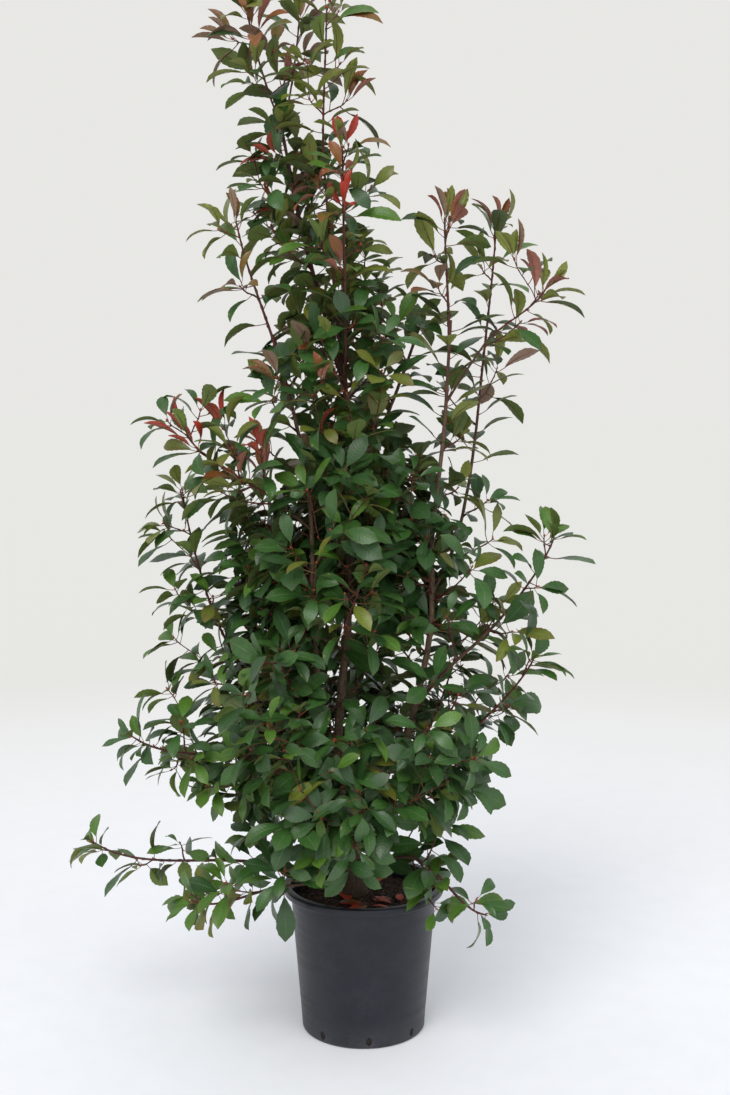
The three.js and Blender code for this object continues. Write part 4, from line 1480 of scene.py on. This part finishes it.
def make_leaves(leaves, buds):
    """A piece or two for each colour kind, split by height, and one each for all stalks and all buds."""
    blades = shape_collection("blade", [blade_mesh(shape) for shape in LEAF_SHAPES])
    stalks = shape_collection("stalk", [stalk_mesh(shape) for shape in LEAF_SHAPES])
    bud_shapes = shape_collection("bud", [bud_mesh(*size) for size in BUDS])
    kinds, shapes, feet, turns, sizes, masses = (np.array(column) for column in zip(*leaves.rows))
    for kind in LEAF_KINDS:
        upper, under = leaf_finishes(kind)
        of_kind = np.flatnonzero(kinds == kind)
        of_kind = of_kind[np.argsort(feet[of_kind][:, 2], kind="stable")]
        parts = np.array_split(of_kind, math.ceil(len(of_kind) / MOST_LEAVES))
        for number, own in enumerate(parts, 1):
            name = f"leaves_{kind}" if len(parts) == 1 else f"leaves_{kind}_{number}"
            stands_for = [f"leaves_{mass}" for mass in sorted(set(masses[own]) & set(HULLS))]
            ride(grown(name, points_mesh(kind, shapes[own], feet[own], turns[own], sizes[own]), SPRAY, {
                "Shapes": blades, "Upper finish": upper, "Underside finish": under,
            }), stands_for)
    stalk = stalk_finish()
    ride(grown("leaf_stalks", points_mesh("stalks", shapes, feet, turns, sizes), SPRAY, {
        "Shapes": stalks, "Upper finish": stalk, "Underside finish": stalk,
    }))
    bud = bud_finish()
    bud_feet, directions, bud_sizes = zip(*buds)
    bud_turns = [Vector(direction).to_track_quat("Y", "Z")[:] for direction in directions]
    taking_turns = np.arange(len(buds)) % len(BUDS)
    ride(grown("buds", points_mesh("buds", taking_turns, bud_feet, bud_turns, bud_sizes), SPRAY, {
        "Shapes": bud_shapes, "Upper finish": bud, "Underside finish": bud,
    }))


# ---- Pot and compost ----

POT_WALL = 0.003
POT_HEIGHT = POT_HIGH[2]
LIP_HEIGHT = 0.017
NECK_RADIUS = POT_RADIUS - 0.017
BASE_RADIUS = POT_RADIUS - 0.043
POT_SIDES = 160
SLOT_COUNT, SLOT_WIDTH, SLOT_HEIGHT, SLOT_FOOT = 8, 0.012, 0.020, 0.008
SLOT_BLOCK, SLOT_CORNER = 0.030, 0.0035  # how far the cutter goes through the wall, and its rounding
SLOT_FIRST_ANGLE = math.radians(-85)
POT_CREASE = math.radians(34)  # edges sharper than this stay sharp


def arc(centre, radius, start, end, steps):
    """Points on an arc, with angles in degrees from the outward direction."""
    turns = [math.radians(start + (end - start) * i / steps) for i in range(steps + 1)]
    return [(centre[0] + radius * math.cos(t), centre[1] + radius * math.sin(t)) for t in turns]


def turned(profile, sides):
    """Turns a profile of (radius, height) that starts and ends on the Z axis."""
    bm = bmesh.new()
    rings = []
    for radius, height in profile:
        places = [(radius * math.cos(t), radius * math.sin(t), height) for t in turns_of(sides)]
        rings.append([bm.verts.new(place) for place in (places if radius > 0 else [(0, 0, height)])])
    skin(bm, rings, sides)
    return bm


def pot_profile():
    """Flat underside with a shallow groove, rounded foot, leaning wall, rolled lip, and the inside."""
    lip_foot = POT_HEIGHT - LIP_HEIGHT

    def wall(z):
        return BASE_RADIUS + (NECK_RADIUS - BASE_RADIUS) * z / lip_foot

    outside = [(0, 0), (BASE_RADIUS - 0.030, 0), (BASE_RADIUS - 0.028, 0.0012)]
    outside += [(BASE_RADIUS - 0.014, 0.0012), (BASE_RADIUS - 0.012, 0)]
    outside += arc((wall(0.006) - 0.0055, 0.006), 0.006, -90, 0, 6)
    outside += [(wall(z), z) for z in (0.03, 0.045, 0.15, 0.25, lip_foot - 0.006, lip_foot - 0.002)]
    lip = [(NECK_RADIUS + 0.003, lip_foot), (POT_RADIUS - 0.004, lip_foot + 0.0008)]
    lip += arc((POT_RADIUS - 0.003, lip_foot + 0.004), 0.003, -80, 0, 4)
    lip += [(POT_RADIUS, POT_HEIGHT - 0.006)]
    lip += arc((POT_RADIUS - 0.0035, POT_HEIGHT - 0.0035), 0.0035, 10, 90, 5)
    lip += arc((NECK_RADIUS + 0.003, POT_HEIGHT - 0.003), 0.003, 90, 180, 5)
    inside = [(NECK_RADIUS - POT_WALL, lip_foot - 0.003)]
    inside += [(wall(z) - POT_WALL, z) for z in (0.25, 0.15, 0.045, POT_WALL)]
    return outside + lip + inside + [(0, POT_WALL)]


def slot_cutter():
    """A drain slot with rounded corners, as a block that goes out through the wall."""
    bm = bmesh.new()
    bmesh.ops.create_cube(bm, size=1.0)
    bmesh.ops.scale(bm, vec=(SLOT_BLOCK, SLOT_WIDTH, SLOT_HEIGHT), verts=bm.verts)
    along = [edge for edge in bm.edges if abs((edge.verts[0].co - edge.verts[1].co).x) > SLOT_BLOCK / 2]
    bmesh.ops.bevel(bm, geom=along, offset=SLOT_CORNER, segments=4, affect="EDGES")
    bmesh.ops.translate(bm, vec=(BASE_RADIUS, 0, SLOT_FOOT + SLOT_HEIGHT / 2), verts=bm.verts)
    return bm


def slots_mesh():
    """All the slots' cutters round the pot."""
    whole = bmesh.new()
    for i in range(SLOT_COUNT):
        one = slot_cutter()
        turn = Matrix.Rotation(SLOT_FIRST_ANGLE + math.tau * i / SLOT_COUNT, 4, "Z")
        bmesh.ops.transform(one, matrix=turn, verts=one.verts)
        part = mesh_of(one, "slot")
        whole.from_mesh(part)
        bpy.data.meshes.remove(part)
    return mesh_of(whole, "slots")


def make_pot():
    shell = piece_of("pot_shell", mesh_of(turned(pot_profile(), POT_SIDES), "pot_shell"), pot_finish())
    cutter = in_scene("slots", slots_mesh())
    cut = shell.modifiers.new("slots", "BOOLEAN")
    cut.operation, cut.solver, cut.object = "DIFFERENCE", "EXACT", cutter
    mesh = applied(shell)
    bpy.data.objects.remove(cutter)
    mesh.set_sharp_from_angle(angle=POT_CREASE)
    for polygon in mesh.polygons:
        polygon.use_smooth = True
    ride(shell, ["pot"])


COMPOST_RINGS, COMPOST_SIDES = 34, 128
COMPOST_FOOT_RADIUS = COMPOST_RADIUS - 0.022
LEVEL_SHARE, FALLING_SHARE = 0.55, 0.45  # of its radius
FALL = 0.006  # at the wall
LUMP, LUMP_FINENESS, HIGHEST_LUMP = 0.0035, 55, 0.004
MOUND, MOUND_RADIUS, MOUND_X = 0.004, 0.055, -0.021  # round the trunk's foot


def compost_top(x, y):
    """The compost's height at a place: level in the middle, lower at the wall, and lumpy."""
    reach = math.hypot(x, y) / COMPOST_RADIUS
    fall = FALL * max(0.0, (reach - LEVEL_SHARE) / FALLING_SHARE)
    lumps = noise.fractal(Vector((x, y, 0)) * LUMP_FINENESS, 0.8, 2.0, 4) * LUMP
    mound = MOUND * math.exp(-(((x - MOUND_X) ** 2 + y**2) / MOUND_RADIUS**2))
    return COMPOST_HIGH[2] - fall + mound + min(HIGHEST_LUMP, lumps) * (1 - reach**8)


def compost_mesh():
    profile = [(COMPOST_RADIUS * i / COMPOST_RINGS, COMPOST_HIGH[2]) for i in range(COMPOST_RINGS + 1)]
    bm = turned(profile + [(COMPOST_FOOT_RADIUS, COMPOST_LOW[2]), (0, COMPOST_LOW[2])], COMPOST_SIDES)
    for vert in bm.verts:
        if vert.co.z > COMPOST_HIGH[2] - 0.001:
            vert.co.z = compost_top(vert.co.x, vert.co.y)
    for face in bm.faces:
        face.smooth = True
    return mesh_of(bm, "compost_bed")


CHIP_MARGIN = 0.015  # from the middle of a chip to the pot's wall
CHIP_SIZES = ((0.016, 0.006, 0.003), (0.011, 0.007, 0.004), (0.008, 0.005, 0.004), (0.020, 0.005, 0.003))
CHIP_END = 0.55  # the width of a chip's ends, as a share of its middle
CHIP_UNEVEN = 0.16  # how far its corners stray, as a share of its size


def chip_mesh(length, width, height, seed):
    """A splinter of bark: a bent block with uneven corners."""
    rng = np.random.default_rng(seed)
    bm = bmesh.new()
    bmesh.ops.create_cube(bm, size=1.0)
    along = [edge for edge in bm.edges if abs((edge.verts[0].co - edge.verts[1].co).x) > 0.5]
    bmesh.ops.subdivide_edges(bm, edges=along, cuts=1)
    for vert in bm.verts:
        vert.co.x *= length
        vert.co.y *= width * (CHIP_END if abs(vert.co.x) > 0.3 * length else 1.0)
        vert.co.z *= height
        vert.co += Vector(rng.uniform(-CHIP_UNEVEN, CHIP_UNEVEN, 3) * [length, width, height])
    return mesh_of(bm, "chip")


def make_compost():
    soil = soil_finish("compost", colour(0.034, 0.018, 0.012), colour(0.015, 0.009, 0.007), 60.0)
    bark = soil_finish("bark chips", colour(0.105, 0.047, 0.027), colour(0.046, 0.022, 0.014), 90.0, 0.8)
    bed = piece_of("compost_bed", compost_mesh(), soil)
    chips = shape_collection("chip", [chip_mesh(*size, seed) for seed, size in enumerate(CHIP_SIZES, 1)])
    strewn = grown("bark_chips", bed.data.copy(), STREWING, {
        "Shapes": chips, "Apart": 0.0055, "Density": 16000.0, "Reach": COMPOST_RADIUS - CHIP_MARGIN,
        "Least size": 0.45, "Greatest size": 1.15, "Seed": SEED, "Finish": bark,
    })
    ride(bed, ["compost"])
    ride(strewn)


FALLEN = 20  # dropped leaves on the compost
SEEN_FALLEN = 10  # of them, in front of the trunk
FALLEN_KINDS = ("dropped", "dropped", "withered", "dropped", "copper")
FALLEN_SIZE = (0.45, 0.75)
# How far from the middle they lie, as shares of the compost's area, and for the seen ones of its radius,
# with their places round the trunk in degrees.
FALLEN_REACH, SEEN_REACH, SEEN_TURN = (0.12, 0.62), (0.45, 0.80), (-88, -42)
FALLEN_DROOP, FALLEN_TILT = -0.10, 0.10  # of its tip, and of its face
FALLEN_ABOVE, FALLEN_MARGIN = 0.008, 0.012  # above the compost, and from its tip to the wall


def drop_leaves(leaves, rng):
    """Dropped leaves that lie on the compost round the trunk."""
    placed = 0
    while placed < FALLEN:
        turn, reach = rng.uniform(0, math.tau), COMPOST_RADIUS * math.sqrt(rng.uniform(*FALLEN_REACH))
        if placed < SEEN_FALLEN:
            turn, reach = math.radians(rng.uniform(*SEEN_TURN)), COMPOST_RADIUS * rng.uniform(*SEEN_REACH)
        x, y = reach * math.cos(turn), reach * math.sin(turn)
        heading = rng.uniform(0, math.tau)
        along = unit(np.array([math.cos(heading), math.sin(heading), FALLEN_DROOP]))
        size = rng.uniform(*FALLEN_SIZE)
        foot = np.array([x, y, compost_top(x, y) + FALLEN_ABOVE])
        tip = foot + along * (STALK_LENGTH + BLADE_LENGTH) * size
        if math.hypot(tip[0], tip[1]) > COMPOST_RADIUS - FALLEN_MARGIN:
            continue
        upper = unit(square_to(along, UP + rng.normal(0, FALLEN_TILT, 3)))
        kind = FALLEN_KINDS[placed % len(FALLEN_KINDS)]
        leaves.lay(kind, FLAT_SHAPE, foot, along, upper, size, "compost")
        placed += 1


# ---- Floor, light and camera ----

FLOOR_NEAR, FLOOR_FAR = colour(0.930, 0.946, 0.990), colour(0.755, 0.750, 0.725)
FLOOR_SIZE = 40.0
FLOOR_DROP = 0.0005  # below the pot's foot
CAMERA_PLACE = (0.0035, -3.344, 1.51)
CAMERA_PITCH = 6.96  # degrees below level


def make_stage():
    bm = bmesh.new()
    bmesh.ops.create_grid(bm, x_segments=1, y_segments=1, size=FLOOR_SIZE)
    f = Finish("floor", 0.75, Specular_IOR_Level=0.0)
    near, _ = f.mottled(1.3, FLOOR_NEAR, shaded(FLOOR_NEAR, 0.985), 0.01)
    f.feed("Base Color", f.blend(f.ramp(f.length(f.place), 0.9, 4.0), near, FLOOR_FAR))
    floor = piece_of("floor", mesh_of(bm, "floor"), f.material)
    floor.location.z = -FLOOR_DROP


def soft_sun(name, strength, tint, direction, spread):
    light = bpy.data.lights.new(name, "SUN")
    light.energy, light.color, light.angle = strength, tint, math.radians(spread)
    in_scene(name, light).rotation_euler = Vector(direction).to_track_quat("-Z", "Y").to_euler()


def make_light():
    """A pale studio all round, which is lighter to the camera than on the plant, and two soft suns."""
    world = bpy.data.worlds.new("studio")
    bpy.context.scene.world = world
    world.use_nodes = True
    world.node_tree.nodes.clear()
    g = Graph(world.node_tree)
    seen = g.out("ShaderNodeBackground", {"Color": colour(0.805, 0.800, 0.780), "Strength": 1.0})
    lighting = g.out("ShaderNodeBackground", {"Color": colour(0.97, 0.985, 1.0), "Strength": 0.68})
    by_camera = g.add("ShaderNodeLightPath").outputs["Is Camera Ray"]
    both = g.out("ShaderNodeMixShader", {0: by_camera, 1: lighting, 2: seen})
    g.add("ShaderNodeOutputWorld", {"Surface": both})
    soft_sun("key", 1.45, (1.0, 0.985, 0.96), (0.28, 0.78, -0.88), 34)
    soft_sun("fill", 0.55, (0.95, 0.98, 1.0), (-0.55, 0.75, -0.40), 60)


def make_camera():
    data = bpy.data.cameras.new("camera")
    data.lens, data.sensor_width = 50.0, 36.0
    camera = in_scene("camera", data)
    camera.location = CAMERA_PLACE
    camera.rotation_euler = (math.radians(90 - CAMERA_PITCH), 0, 0)
    bpy.context.scene.camera = camera
    bpy.context.scene.view_settings.view_transform = "Standard"


# ---- The whole plant ----

make_camera()
make_light()
make_stage()
make_pot()
make_compost()

all_shoots = grow()
all_leaves, all_buds = Leaves(), []
leaf_rng = np.random.default_rng(SEED + 2)
for one_shoot in all_shoots:
    dress(one_shoot, all_leaves, all_buds, leaf_rng)
for limb_name in LIMBS:
    dress_limb(limb_name, all_leaves, leaf_rng)
drop_leaves(all_leaves, leaf_rng)
make_wood(all_shoots)
make_leaves(all_leaves, all_buds)
